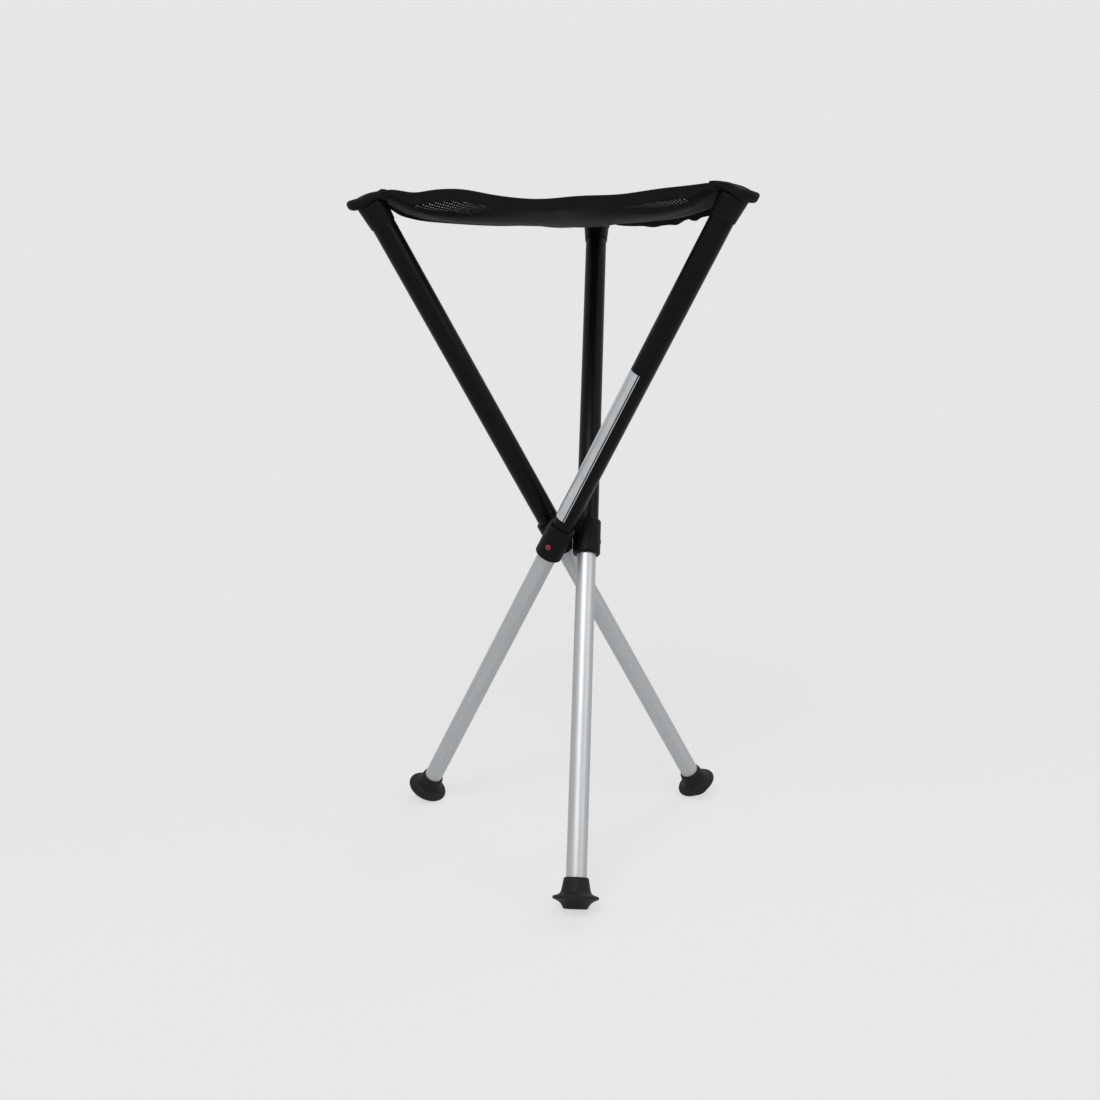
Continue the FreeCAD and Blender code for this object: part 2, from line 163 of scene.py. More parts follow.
class Nodes:
    """A node tree whose nodes all come from one method."""

    def __init__(self, tree: bpy.types.NodeTree) -> None:
        """Keeps the tree."""
        self.tree = tree

    def put(self, socket: bpy.types.NodeSocket, value: Any) -> None:
        """Sets a socket's value or links a signal to it.

        Args:
            socket: The input socket.
            value: A number, a vector, a signal or a colour, which gets an alpha of one.
        """
        if isinstance(value, Signal):
            self.tree.links.new(value.socket, socket)
        elif socket.type == "RGBA" and len(value) == 3:
            socket.default_value = (*value, 1.0)
        else:
            socket.default_value = value

    def node(self, kind: str, settings: Optional[dict[str, Any]] = None,
             values: Optional[dict[Any, Any]] = None) -> bpy.types.Node:
        """Adds one node.

        Args:
            kind: The node's type.
            settings: Its properties, which are set first.
            values: Values or signals by socket name or number.

        Returns:
            The new node.
        """
        node = self.tree.nodes.new(kind)
        for key, value in (settings or {}).items():
            setattr(node, key, value)
        for key, value in (values or {}).items():
            self.put(node.inputs[key], value)
        return node

    def signal(self, kind: str, settings: Optional[dict[str, Any]] = None,
               values: Optional[dict[Any, Any]] = None, output: Union[int, str] = 0) -> Signal:
        """Adds one node and takes one of its outputs.

        Args:
            kind: The node's type.
            settings: Its properties, which are set first.
            values: Values or signals by socket name or number.
            output: The output's number or name.

        Returns:
            The output as a signal.
        """
        return Signal(self, self.node(kind, settings, values).outputs[output])

    def split(self, vector: Signal) -> tuple[Signal, Signal, Signal]:
        """A vector's three parts."""
        parts = self.node("ShaderNodeSeparateXYZ", None, {0: vector}).outputs
        return Signal(self, parts[0]), Signal(self, parts[1]), Signal(self, parts[2])


class Shader(Nodes):
    """One material's nodes, with its main shader ready to be linked."""

    MIX_SHARE = 0
    MIX_FIRST = 6
    MIX_SECOND = 7
    MIX_RESULT = 2

    def __init__(self, name: str, **surface: Any) -> None:
        """Makes the material.

        Args:
            name: The material's name.
            surface: Values for the main shader's sockets, with _ for a space.
        """
        self.material = bpy.data.materials.new(name)
        self.material.use_nodes = True
        super().__init__(self.material.node_tree)
        self.surface = self.tree.nodes["Principled BSDF"]
        self.cover(surface)

    def cover(self, surface: dict[str, Any]) -> None:
        """Sets or links the main shader's sockets, by name with _ for a space."""
        for key, value in surface.items():
            self.put(self.surface.inputs[key.replace("_", " ")], value)

    def place(self, turn: Optional[Matrix] = None, scale: Sequence[float] = (1, 1, 1)) -> Signal:
        """Object coordinates, in a frame of one's own.

        Args:
            turn: Matrix that takes the stool's frame to the pattern's frame.
            scale: Factor along each of that frame's axes.

        Returns:
            The coordinates as a vector signal.
        """
        signal = self.signal("ShaderNodeTexCoord", output="Object")
        if turn is not None:
            signal = self.signal("ShaderNodeMapping", {"vector_type": "POINT"},
                                 {"Vector": signal, "Location": turn.to_translation(),
                                  "Rotation": turn.to_euler()})
        return self.signal("ShaderNodeMapping", {"vector_type": "POINT"},
                           {"Vector": signal, "Scale": scale})

    def chart(self) -> tuple[Signal, Signal]:
        """The piece's own UV map as two signals."""
        across, along, _ = self.split(self.signal("ShaderNodeUVMap", {"uv_map": CHART}))
        return across, along

    def noise(self, place: Signal, scale: float, detail: float, rough: float = 0.55) -> Signal:
        """Fractal noise about one half.

        Args:
            place: Coordinates.
            scale: Features per metre.
            detail: Octaves.
            rough: Share of the fine octaves.

        Returns:
            The noise as a signal.
        """
        return self.signal("ShaderNodeTexNoise", None, {
            "Vector": place, "Scale": scale, "Detail": detail, "Roughness": rough})

    def cells(self, place: Signal, scale: float) -> Signal:
        """Distance to the nearest of many scattered points."""
        return self.signal("ShaderNodeTexVoronoi", None, {"Vector": place, "Scale": scale}, "Distance")

    def mix(self, share: Number, first: Colour, second: Colour) -> Signal:
        """Blend of two colours.

        Args:
            share: Share of the second colour.
            first: Colour at share 0.
            second: Colour at share 1.

        Returns:
            The blended colour.
        """
        return self.signal("ShaderNodeMix", {"data_type": "RGBA"}, {
            self.MIX_SHARE: share, self.MIX_FIRST: first, self.MIX_SECOND: second}, self.MIX_RESULT)

    def dress(self, height: Signal, depth: float, **surface: Any) -> None:
        """Links signals to the main shader, with a relief.

        Args:
            height: Relief from 0 to 1.
            depth: Height of the relief in metres.
            surface: Signals or values for the main shader's sockets, with _ for a space.
        """
        self.cover(surface)
        self.put(self.surface.inputs["Normal"], self.signal(
            "ShaderNodeBump", None, {"Strength": 1.0, "Distance": depth, "Height": height}))


# Finishes

@dataclass(frozen=True)
class SatinCoat:
    """Black satin coating of the upper tubes, with faint lines along the tube."""

    tint: Tone = (0.0025, 0.0025, 0.0026)
    worn: Tone = (0.0085, 0.0085, 0.0087)
    specular: float = 0.10
    roughness: float = 0.36
    line_scale: float = 1800.0
    line_stretch: Stretch = (1.0, 1.0, 0.02)
    cloud_scale: float = 22.0
    grain_scale: float = 2600.0
    worn_clouds: Step = (0.52, 0.72)
    worn_lines: Step = (0.45, 0.7)
    worn_most: float = 0.5
    grain_relief: float = 0.6
    line_relief: float = 0.4
    cloud_roughness: float = 0.16
    line_roughness: float = 0.08
    relief: float = 0.00003

    def material(self, name: str, turn: Matrix) -> bpy.types.Material:
        """Makes the coating for a tube that lies along its frame's Z.

        Args:
            name: The material's name.
            turn: Matrix from the stool's frame to the tube's frame.

        Returns:
            The material.
        """
        shader = Shader(name, Specular_IOR_Level=self.specular)
        lines = shader.noise(shader.place(turn, self.line_stretch), self.line_scale, detail=2.0)
        cloud = shader.noise(shader.place(turn), self.cloud_scale, detail=4.0)
        grain = shader.noise(shader.place(turn), self.grain_scale, detail=2.0)
        rubbed = cloud.fade(*self.worn_clouds) * lines.fade(*self.worn_lines)
        shader.dress(grain * self.grain_relief + lines * self.line_relief, self.relief,
                     Base_Color=shader.mix(rubbed * self.worn_most, self.tint, self.worn),
                     Roughness=(cloud.swing(self.cloud_roughness)
                                + lines.swing(self.line_roughness) + self.roughness))
        return shader.material


@dataclass(frozen=True)
class SatinSilver:
    """Silver anodised finish of the lower tubes, drawn along the tube."""

    tint: Tone = (0.47, 0.475, 0.48)
    shade: Tone = (0.40, 0.405, 0.41)
    metallic: float = 0.82
    roughness: float = 0.46
    line_scale: float = 2600.0
    line_stretch: Stretch = (1.0, 1.0, 0.008)
    line_step: Step = (0.3, 0.7)
    broad_scale: float = 260.0
    broad_stretch: Stretch = (1.0, 1.0, 0.05)
    broad_step: Step = (0.35, 0.65)
    cloud_scale: float = 30.0
    line_shade: float = 0.45
    broad_shade: float = 0.35
    line_roughness: float = 0.12
    cloud_roughness: float = 0.10
    relief: float = 0.000008

    def material(self, name: str, turn: Matrix) -> bpy.types.Material:
        """Makes the finish for a tube that lies along its frame's Z.

        Args:
            name: The material's name.
            turn: Matrix from the stool's frame to the tube's frame.

        Returns:
            The material.
        """
        shader = Shader(name, Metallic=self.metallic)
        lines = shader.noise(shader.place(turn, self.line_stretch), self.line_scale, detail=3.0)
        broad = shader.noise(shader.place(turn, self.broad_stretch), self.broad_scale, detail=2.0)
        cloud = shader.noise(shader.place(turn), self.cloud_scale, detail=3.0)
        streak = (lines.fade(*self.line_step) * self.line_shade
                  + broad.fade(*self.broad_step) * self.broad_shade)
        shader.dress(lines, self.relief,
                     Base_Color=shader.mix(streak, self.tint, self.shade),
                     Roughness=(lines.swing(self.line_roughness)
                                + cloud.swing(self.cloud_roughness) + self.roughness))
        return shader.material


@dataclass(frozen=True)
class MouldedPlastic:
    """Moulded plastic with an eroded grain."""

    tint: Tone = (0.0026, 0.0028, 0.0029)
    pale: Tone = (0.0066, 0.0068, 0.0071)
    specular: float = 0.10
    roughness: float = 0.46
    grain_scale: float = 1500.0
    grain_depth: float = 0.00006
    cloud_scale: float = 55.0
    pale_clouds: Step = (0.45, 0.75)
    pale_most: float = 0.5
    cloud_roughness: float = 0.14
    grain_roughness: float = 0.08

    def material(self, name: str) -> bpy.types.Material:
        """Makes the plastic under a name.

        Args:
            name: The material's name.

        Returns:
            The material.
        """
        shader = Shader(name, Specular_IOR_Level=self.specular)
        grain = shader.cells(shader.place(), self.grain_scale)
        cloud = shader.noise(shader.place(), self.cloud_scale, detail=4.0)
        faded = cloud.fade(*self.pale_clouds) * self.pale_most
        shader.dress(grain, self.grain_depth,
                     Base_Color=shader.mix(faded, self.tint, self.pale),
                     Roughness=(cloud.swing(self.cloud_roughness)
                                + grain * self.grain_roughness + self.roughness))
        return shader.material


@dataclass(frozen=True)
class Rubber:
    """Matt black rubber with a trace of floor dust near the ground."""

    tint: Tone = (0.0056, 0.0058, 0.0062)
    dust: Tone = (0.040, 0.038, 0.036)
    specular: float = 0.20
    roughness: float = 0.62
    dust_height: float = 0.016
    dusty_clouds: Step = (0.42, 0.7)
    dust_most: float = 0.55
    dust_roughness: float = 0.2
    cloud_scale: float = 130.0
    cloud_rough: float = 0.65
    cloud_relief: float = 0.3
    cloud_roughness: float = 0.2
    grain_scale: float = 2200.0
    grain_relief: float = 0.7
    relief: float = 0.00008

    def material(self, name: str) -> bpy.types.Material:
        """Makes the rubber under a name.

        Args:
            name: The material's name.

        Returns:
            The material.
        """
        shader = Shader(name, Specular_IOR_Level=self.specular)
        place = shader.place()
        height = shader.split(place)[2]
        cloud = shader.noise(place, self.cloud_scale, detail=5.0, rough=self.cloud_rough)
        grain = shader.noise(place, self.grain_scale, detail=2.0)
        dusty = height.fade(0.0, self.dust_height, 1.0, 0.0) * cloud.fade(*self.dusty_clouds)
        shader.dress(grain * self.grain_relief + cloud * self.cloud_relief, self.relief,
                     Base_Color=shader.mix(dusty * self.dust_most, self.tint, self.dust),
                     Roughness=(cloud.swing(self.cloud_roughness)
                                + dusty * self.dust_roughness + self.roughness))
        return shader.material


@dataclass(frozen=True)
class Cloth:
    """Black woven cloth whose ribs follow the piece's own chart, in metres."""

    tint: Tone = (0.0026, 0.0029, 0.0028)
    lift: Tone = (0.0080, 0.0084, 0.0081)
    rib: float = 0.0009
    warp: float = 0.0009
    depth: float = 0.00016
    slant: float = 0.0
    specular: float = 0.09
    roughness: float = 0.78
    sheen: float = 0.03
    sheen_roughness: float = 0.45
    cloud_scale: float = 90.0
    lifted_clouds: Step = (0.4, 0.75)
    cloud_lift: float = 0.4
    cloud_roughness: float = 0.12
    fuzz_scale: float = 3200.0
    fuzz_relief: float = 0.4
    rib_share: float = 0.5
    thread_share: float = 0.35
    weave_middle: float = 0.5
    weave_lift: float = 0.4
    weave_relief: float = 0.8

    def material(self, name: str) -> bpy.types.Material:
        """Makes the cloth under a name.

        Args:
            name: The material's name.

        Returns:
            The material.
        """
        shader = Shader(name, Sheen_Weight=self.sheen, Sheen_Roughness=self.sheen_roughness,
                        Specular_IOR_Level=self.specular)
        across, along = shader.chart()
        ribs = ((along + across * self.slant) * (math.tau / self.rib)).sine()
        threads = ((across - along * self.slant) * (math.tau / self.warp)).sine()
        weave = ribs * self.rib_share + threads * self.thread_share + self.weave_middle
        cloud = shader.noise(shader.place(), self.cloud_scale, detail=4.0)
        fuzz = shader.noise(shader.place(), self.fuzz_scale, detail=2.0)
        lifted = weave * self.weave_lift + cloud.fade(*self.lifted_clouds) * self.cloud_lift
        shader.dress(weave * self.weave_relief + fuzz * self.fuzz_relief, self.depth,
                     Base_Color=shader.mix(lifted, self.tint, self.lift),
                     Roughness=cloud.swing(self.cloud_roughness) + self.roughness)
        return shader.material


@dataclass(frozen=True)
class Yarn:
    """Coated yarn of the net and the sewing thread."""

    tint: Tone = (0.0018, 0.0020, 0.0019)
    lift: Tone = (0.0062, 0.0064, 0.0062)
    specular: float = 0.05
    roughness: float = 0.6
    sheen: float = 0.01
    sheen_roughness: float = 0.4
    cloud_scale: float = 60.0
    lifted_clouds: Step = (0.4, 0.7)
    cloud_lift: float = 0.35
    twist_scale: float = 2400.0
    lifted_twists: Step = (0.5, 0.8)
    twist_lift: float = 0.3
    twist_roughness: float = 0.25
    relief: float = 0.0001

    def material(self, name: str) -> bpy.types.Material:
        """Makes the yarn under a name.

        Args:
            name: The material's name.

        Returns:
            The material.
        """
        shader = Shader(name, Sheen_Weight=self.sheen, Sheen_Roughness=self.sheen_roughness,
                        Specular_IOR_Level=self.specular)
        cloud = shader.noise(shader.place(), self.cloud_scale, detail=4.0)
        twist = shader.noise(shader.place(), self.twist_scale, detail=3.0)
        lifted = (cloud.fade(*self.lifted_clouds) * self.cloud_lift
                  + twist.fade(*self.lifted_twists) * self.twist_lift)
        shader.dress(twist, self.relief,
                     Base_Color=shader.mix(lifted, self.tint, self.lift),
                     Roughness=twist.swing(self.twist_roughness) + self.roughness)
        return shader.material


@dataclass(frozen=True)
class PlatedSteel:
    """Bright plated steel of the screws and washers."""

    tint: Tone = (0.55, 0.55, 0.56)
    dull: Tone = (0.33, 0.33, 0.32)
    roughness: float = 0.3
    cloud_scale: float = 420.0
    dull_clouds: Step = (0.45, 0.75)
    cloud_roughness: float = 0.25
    fine_scale: float = 3000.0
    relief: float = 0.00002

    def material(self, name: str) -> bpy.types.Material:
        """Makes the steel under a name.

        Args:
            name: The material's name.

        Returns:
            The material.
        """
        shader = Shader(name, Metallic=1.0)
        cloud = shader.noise(shader.place(), self.cloud_scale, detail=4.0)
        fine = shader.noise(shader.place(), self.fine_scale, detail=2.0)
        shader.dress(fine, self.relief,
                     Base_Color=shader.mix(cloud.fade(*self.dull_clouds), self.tint, self.dull),
                     Roughness=cloud.swing(self.cloud_roughness) + self.roughness)
        return shader.material


@dataclass(frozen=True)
class BlackenedSteel(PlatedSteel):
    """Blackened steel of the corner screws."""

    tint: Tone = (0.060, 0.060, 0.062)
    dull: Tone = (0.030, 0.030, 0.030)
    roughness: float = 0.38


@dataclass(frozen=True)
class GlossRed:
    """Glossy red plastic of the lock buttons."""

    tint: Tone = (0.20, 0.008, 0.012)
    deep: Tone = (0.10, 0.003, 0.005)
    specular: float = 0.3
    roughness: float = 0.2
    coat: float = 0.1
    coat_roughness: float = 0.12
    cloud_scale: float = 500.0
    cloud_coat: float = 0.3
    cloud_roughness: float = 0.2
    deep_clouds: Step = (0.4, 0.7)
    deep_most: float = 0.6
    relief: float = 0.00002

    def material(self, name: str) -> bpy.types.Material:
        """Makes the plastic under a name.

        Args:
            name: The material's name.

        Returns:
            The material.
        """
        shader = Shader(name, Coat_Roughness=self.coat_roughness, Specular_IOR_Level=self.specular)
        cloud = shader.noise(shader.place(), self.cloud_scale, detail=3.0)
        deeper = cloud.fade(*self.deep_clouds) * self.deep_most
        shader.dress(cloud, self.relief, Coat_Weight=cloud * self.cloud_coat + self.coat,
                     Base_Color=shader.mix(deeper, self.tint, self.deep),
                     Roughness=cloud * self.cloud_roughness + self.roughness)
        return shader.material


@dataclass(frozen=True)
class Foil:
    """Bare foil strip: brushed silver with a dark margin and a bright edge line."""

    tint: Tone = (0.60, 0.61, 0.62)
    shade: Tone = (0.40, 0.41, 0.42)
    margin: Tone = (0.014, 0.014, 0.015)
    metallic: float = 0.85
    roughness: float = 0.32
    line_at: float = math.radians(21.5)
    line_half: float = math.radians(1.6)
    line_soft: float = 0.01
    field_end: float = math.radians(13.0)
    field_soft: float = 0.012
    brush_scale: float = 1500.0
    brush_stretch: Stretch = (1.0, 1.0, 0.02)
    brush_step: Step = (0.35, 0.65)
    brush_shade: float = 0.5
    brush_roughness: float = 0.12
    cloud_scale: float = 60.0
    cloud_step: Step = (0.4, 0.7)
    cloud_shade: float = 0.3
    relief: float = 0.00001

    def material(self, name: str, turn: Matrix) -> bpy.types.Material:
        """Makes the foil for a tube that lies along its frame's Z.

        Args:
            name: The material's name.
            turn: Matrix from the stool's frame to the tube's frame.

        Returns:
            The material.
        """
        shader = Shader(name)
        x, y, _ = shader.split(shader.place(turn))
        angle = y.angle(x)
        lines = shader.noise(shader.place(turn, self.brush_stretch), self.brush_scale, detail=3.0)
        cloud = shader.noise(shader.place(turn), self.cloud_scale, detail=4.0)
        field_mask = angle.fade(self.field_end - self.field_soft, self.field_end + self.field_soft,
                                1.0, 0.0)
        line = (angle - self.line_at).size().fade(self.line_half - self.line_soft,
                                                  self.line_half + self.line_soft, 1.0, 0.0)
        bare = field_mask.most(line)
        streak = (lines.fade(*self.brush_step) * self.brush_shade
                  + cloud.fade(*self.cloud_step) * self.cloud_shade)
        silver = shader.mix(streak, self.tint, self.shade)
        shader.dress(lines, self.relief, Base_Color=shader.mix(bare, self.margin, silver),
                     Metallic=bare * self.metallic,
                     Roughness=lines * self.brush_roughness + self.roughness)
        return shader.material


# Places

@dataclass(frozen=True)
class LegFrame:
    """Where a leg stands: its pivot, the way out from the stool's axis and the way up the tube."""

    name: str
    pivot: Vector
    outward: Vector
    along: Vector

    @classmethod
    def read(cls, name: str) -> "LegFrame":
        """Reads a leg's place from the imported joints.

        Args:
            name: The leg's letter.

        Returns:
            The leg's frame.
        """
        joints = {joint["name"]: joint for joint in frame["joints"]}
        fold = joints[f"leg_{name}_fold"]
        extend = joints[f"leg_{name}_extend"]
        return cls(name, Vector(fold["pos_m"]), Vector(fold["axis"]).normalized(),
                   Vector(extend["axis"]).normalized())

    @property
    def matrix(self) -> Matrix:
        """The leg's own frame: origin at the pivot, +X outward, +Z up the tube."""
        across = self.along.cross(self.outward)
        turned = Matrix((self.outward, across, self.along)).transposed().to_4x4()
        turned.translation = self.pivot
        return turned


@dataclass
class Stool:
    """The legs' frames and what follows from them."""

    legs: dict[str, LegFrame] = field(init=False)
    axis: Vector = field(init=False)
    cap_top: float = field(init=False)
    sole: float = field(init=False)

    def __post_init__(self) -> None:
        """Reads the legs and finds the stool's axis at hub height."""
        self.legs = {name: LegFrame.read(name) for name in LEG_NAMES}
        self.axis = sum((leg.pivot for leg in self.legs.values()), Vector()) / len(LEG_NAMES)
        self.cap_top = self.span("top_cap", "a")[1]
        self.sole = self.span("foot", "a")[0]

    def span(self, kind: str, name: str) -> tuple[float, float]:
        """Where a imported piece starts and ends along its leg.

        Args:
            kind: The piece's name without the leg's letter.
            name: The leg's letter.

        Returns:
            The lowest and the highest place, from the pivot up the tube.
        """
        leg = self.legs[name]
        corners = frame["nodes"][f"{kind}_{name}"].data.vertices
        places = [(corner.co - leg.pivot).dot(leg.along) for corner in corners]
        return min(places), max(places)

    def pad_frame(self, leg: LegFrame, height: float = 0.0) -> Matrix:
        """The frame of a seat corner: on the cap's top face, +Y away from the stool's axis.

        Args:
            leg: The leg that carries the corner.
            height: Height above the cap's top face.

        Returns:
            The frame as a matrix.
        """
        offset = (leg.pivot - self.axis).length
        tilt = math.acos(leg.along.z)
        turn = math.atan2(offset, math.sin(tilt) * self.cap_top * math.cos(tilt))
        return (leg.matrix @ Matrix.Translation((0, 0, self.cap_top + height))
                @ Matrix.Rotation(-turn, 4, "Z"))


# Modelling helpers

def deselect() -> None:
    """Leaves edit mode and deselects everything."""
    if bpy.context.object is not None and bpy.context.object.mode != "OBJECT":
        bpy.ops.object.mode_set(mode="OBJECT")
    bpy.ops.object.select_all(action="DESELECT")


def only(piece: bpy.types.Object) -> None:
    """Makes a piece the one that is selected and active.

    Args:
        piece: The piece.
    """
    deselect()
    piece.select_set(True)
    bpy.context.view_layer.objects.active = piece


def settle(piece: bpy.types.Object, matrix: Matrix) -> None:
    """Carries a piece's mesh to its place, with its object left at the origin.

    Args:
        piece: The piece.
        matrix: Where it goes.
    """
    only(piece)
    piece.matrix_world = matrix @ piece.matrix_world
    bpy.ops.object.transform_apply(location=True, rotation=True, scale=True)


def finish_with(piece: bpy.types.Object, kind: str, **settings: Any) -> None:
    """Adds a modifier and applies it.

    Args:
        piece: The piece.
        kind: The modifier's type.
        settings: Its properties.
    """
    only(piece)
    modifier = piece.modifiers.new(kind.title(), kind)
    for key, value in settings.items():
        setattr(modifier, key, value)
    bpy.ops.object.modifier_apply(modifier=modifier.name)


def smooth(piece: bpy.types.Object, degrees: float) -> None:
    """Shades a piece smooth but for its sharp edges."""
    only(piece)
    bpy.ops.object.shade_smooth_by_angle(angle=math.radians(degrees))


def leave_outward() -> None:
    """Turns all faces of the closed piece in edit mode outward, and leaves edit mode."""
    bpy.ops.mesh.select_all(action="SELECT")
    bpy.ops.mesh.normals_make_consistent(inside=False)
    bpy.ops.object.mode_set(mode="OBJECT")


def face_out(piece: bpy.types.Object) -> None:
    """Turns a closed piece's faces outward.

    Args:
        piece: The piece.
    """
    only(piece)
    bpy.ops.object.mode_set(mode="EDIT")
    leave_outward()


def turned(name: str, rings: Sequence[tuple[float, float]], segments: int) -> bpy.types.Object:
    """A form turned about Z: a disc that is extruded and resized ring by ring.

    Args:
        name: The piece's name.
        rings: Radius and height of each ring, from the first disc on.
        segments: Corners of each ring.

    Returns:
        The closed piece.
    """
    deselect()
    radius, height = rings[0]
    bpy.ops.mesh.primitive_circle_add(vertices=segments, radius=radius, fill_type="NGON",
                                      location=(0, 0, height))
    piece = bpy.context.object
    piece.name = piece.data.name = name
    bpy.ops.object.transform_apply(location=True)
    bpy.ops.object.mode_set(mode="EDIT")
    bpy.ops.mesh.select_all(action="SELECT")
    for next_radius, next_height in rings[1:]:
        bpy.ops.mesh.extrude_region_move(
            TRANSFORM_OT_translate={"value": (0, 0, next_height - height)})
        factor = next_radius / radius
        bpy.ops.transform.resize(value=(factor, factor, 1.0), center_override=(0, 0, next_height))
        radius, height = next_radius, next_height
    leave_outward()
    return piece


def woven(name: str, points: np.ndarray, faces: Sequence[Sequence[int]],
          chart: Optional[np.ndarray] = None) -> bpy.types.Object:
    """A cloth or padded piece from its points and faces.

    Args:
        name: The piece's name.
        points: Points in the stool's frame, one to a row.
        faces: Point numbers of each face.
        chart: Flat coordinates of each point, in metres.

    Returns:
        The new piece.
    """
    mesh = bpy.data.meshes.new(name)
    mesh.from_pydata(points.tolist(), [], [list(face) for face in faces])
    if chart is not None:
        corners = np.empty(len(mesh.loops), int)
        mesh.loops.foreach_get("vertex_index", corners)
        layer = mesh.uv_layers.new(name=CHART)
        layer.data.foreach_set("uv", np.asarray(chart)[corners].astype(np.float32).ravel())
    mesh.validate()
    mesh.update()
    piece = bpy.data.objects.new(name, mesh)
    bpy.context.scene.collection.objects.link(piece)
    return piece


def lofted_faces(rows: int, columns: int, closed: bool, start: int = 0) -> list[tuple[int, ...]]:
    """Faces of a grid of points, with closed rings capped at both ends.

    Args:
        rows: Rows of points.
        columns: Points in each row.
        closed: True where each row is a ring.
        start: Number of the first point.

    Returns:
        The faces, as point numbers.
    """
    faces = []
    for row in range(rows - 1):
        for column in range(columns if closed else columns - 1):
            near = start + row * columns
            nxt = (column + 1) % columns
            faces.append((near + column, near + nxt, near + columns + nxt, near + columns + column))
    if closed:
        faces.append(tuple(start + column for column in reversed(range(columns))))
        faces.append(tuple(start + (rows - 1) * columns + column for column in range(columns)))
    return faces


# Seat

class SeatEdge(Enum):
    """The seat's edges, by the leg that each one starts from and the leg that it runs to."""

    FRONT = ("a", "b")
    RIGHT = ("b", "c")
    LEFT = ("c", "a")


Dips = tuple[tuple[float, float, float], ...]


@dataclass(frozen=True)
class Drape:
    """How late one third of the seat rises to its corner."""

    spine_power: float
    edge_power: float


@dataclass
class SeatShape:
    """The slung seat as heights over the ground plan, in thirds that meet on the stool's axis."""

    stool: Stool
    drapes: dict[str, Drape] = field(default_factory=lambda: {
        "a": Drape(6.0, 9.0), "b": Drape(6.0, 9.0), "c": Drape(1.8, 1.6)})
    pad_thickness: float = 0.009
    pad_inner: float = 0.0144
    pad_half_width: float = 0.023
    centre_sag: float = 0.030
    hollow: float = 0.016
    back_sag: float = 0.013
    dips: dict[SeatEdge, Dips] = field(default_factory=lambda: {
        SeatEdge.FRONT: ((0.47, 0.0102, 0.10), (0.71, 0.0078, 0.10), (0.33, 0.0020, 0.06),
                         (0.92, 0.0020, 0.07), (0.22, -0.0018, 0.06), (0.00, -0.0022, 0.05),
                         (0.09, 0.0022, 0.03)),
        SeatEdge.RIGHT: ((0.225, 0.0030, 0.016), (0.345, 0.0042, 0.030), (0.41, 0.0020, 0.03),
                         (0.50, 0.0030, 0.05)),
        SeatEdge.LEFT: ((0.34, -0.0028, 0.14), (0.93, -0.0022, 0.05))})
    wrinkle: float = 0.0007
    wrinkle_count: float = 4.5
    wrinkle_skew: int = 5
    wrinkle_end: int = 6
    wrinkle_margin: float = 0.25
    corner_power: int = 3
    search_reach: float = 1.3
    search_steps: int = 28
    thirds: dict[str, "Third"] = field(init=False)

    def __post_init__(self) -> None:
        """Makes the three thirds."""
        self.thirds = {name: Third(self, leg) for name, leg in self.stool.legs.items()}
        reach = sum(third.edge_reach[side] for third in self.thirds.values() for side in SIDES)
        for third in self.thirds.values():
            third.reach = reach / (len(LEG_NAMES) * len(SIDES))

    def owners(self, plan: np.ndarray) -> np.ndarray:
        """Which third each point of the plan belongs to.

        Args:
            plan: Points about the stool's axis.

        Returns:
            The number of the third, in the order of the leg names.
        """
        spines = np.array([self.thirds[name].direction for name in LEG_NAMES])
        return np.argmax(plan @ spines.T, axis=1)

    def survey(self, plan: np.ndarray) -> tuple[np.ndarray, np.ndarray]:
        """The cloth's height and the distance to its edge at points of the plan.

        Args:
            plan: Points about the stool's axis.

        Returns:
            The heights and the distances.
        """
        owners = self.owners(plan)
        heights, rooms = np.zeros(len(plan)), np.zeros(len(plan))
        for number, name in enumerate(LEG_NAMES):
            chosen = owners == number
            if chosen.any():
                heights[chosen], rooms[chosen] = self.thirds[name].survey(plan[chosen])
        return heights, rooms


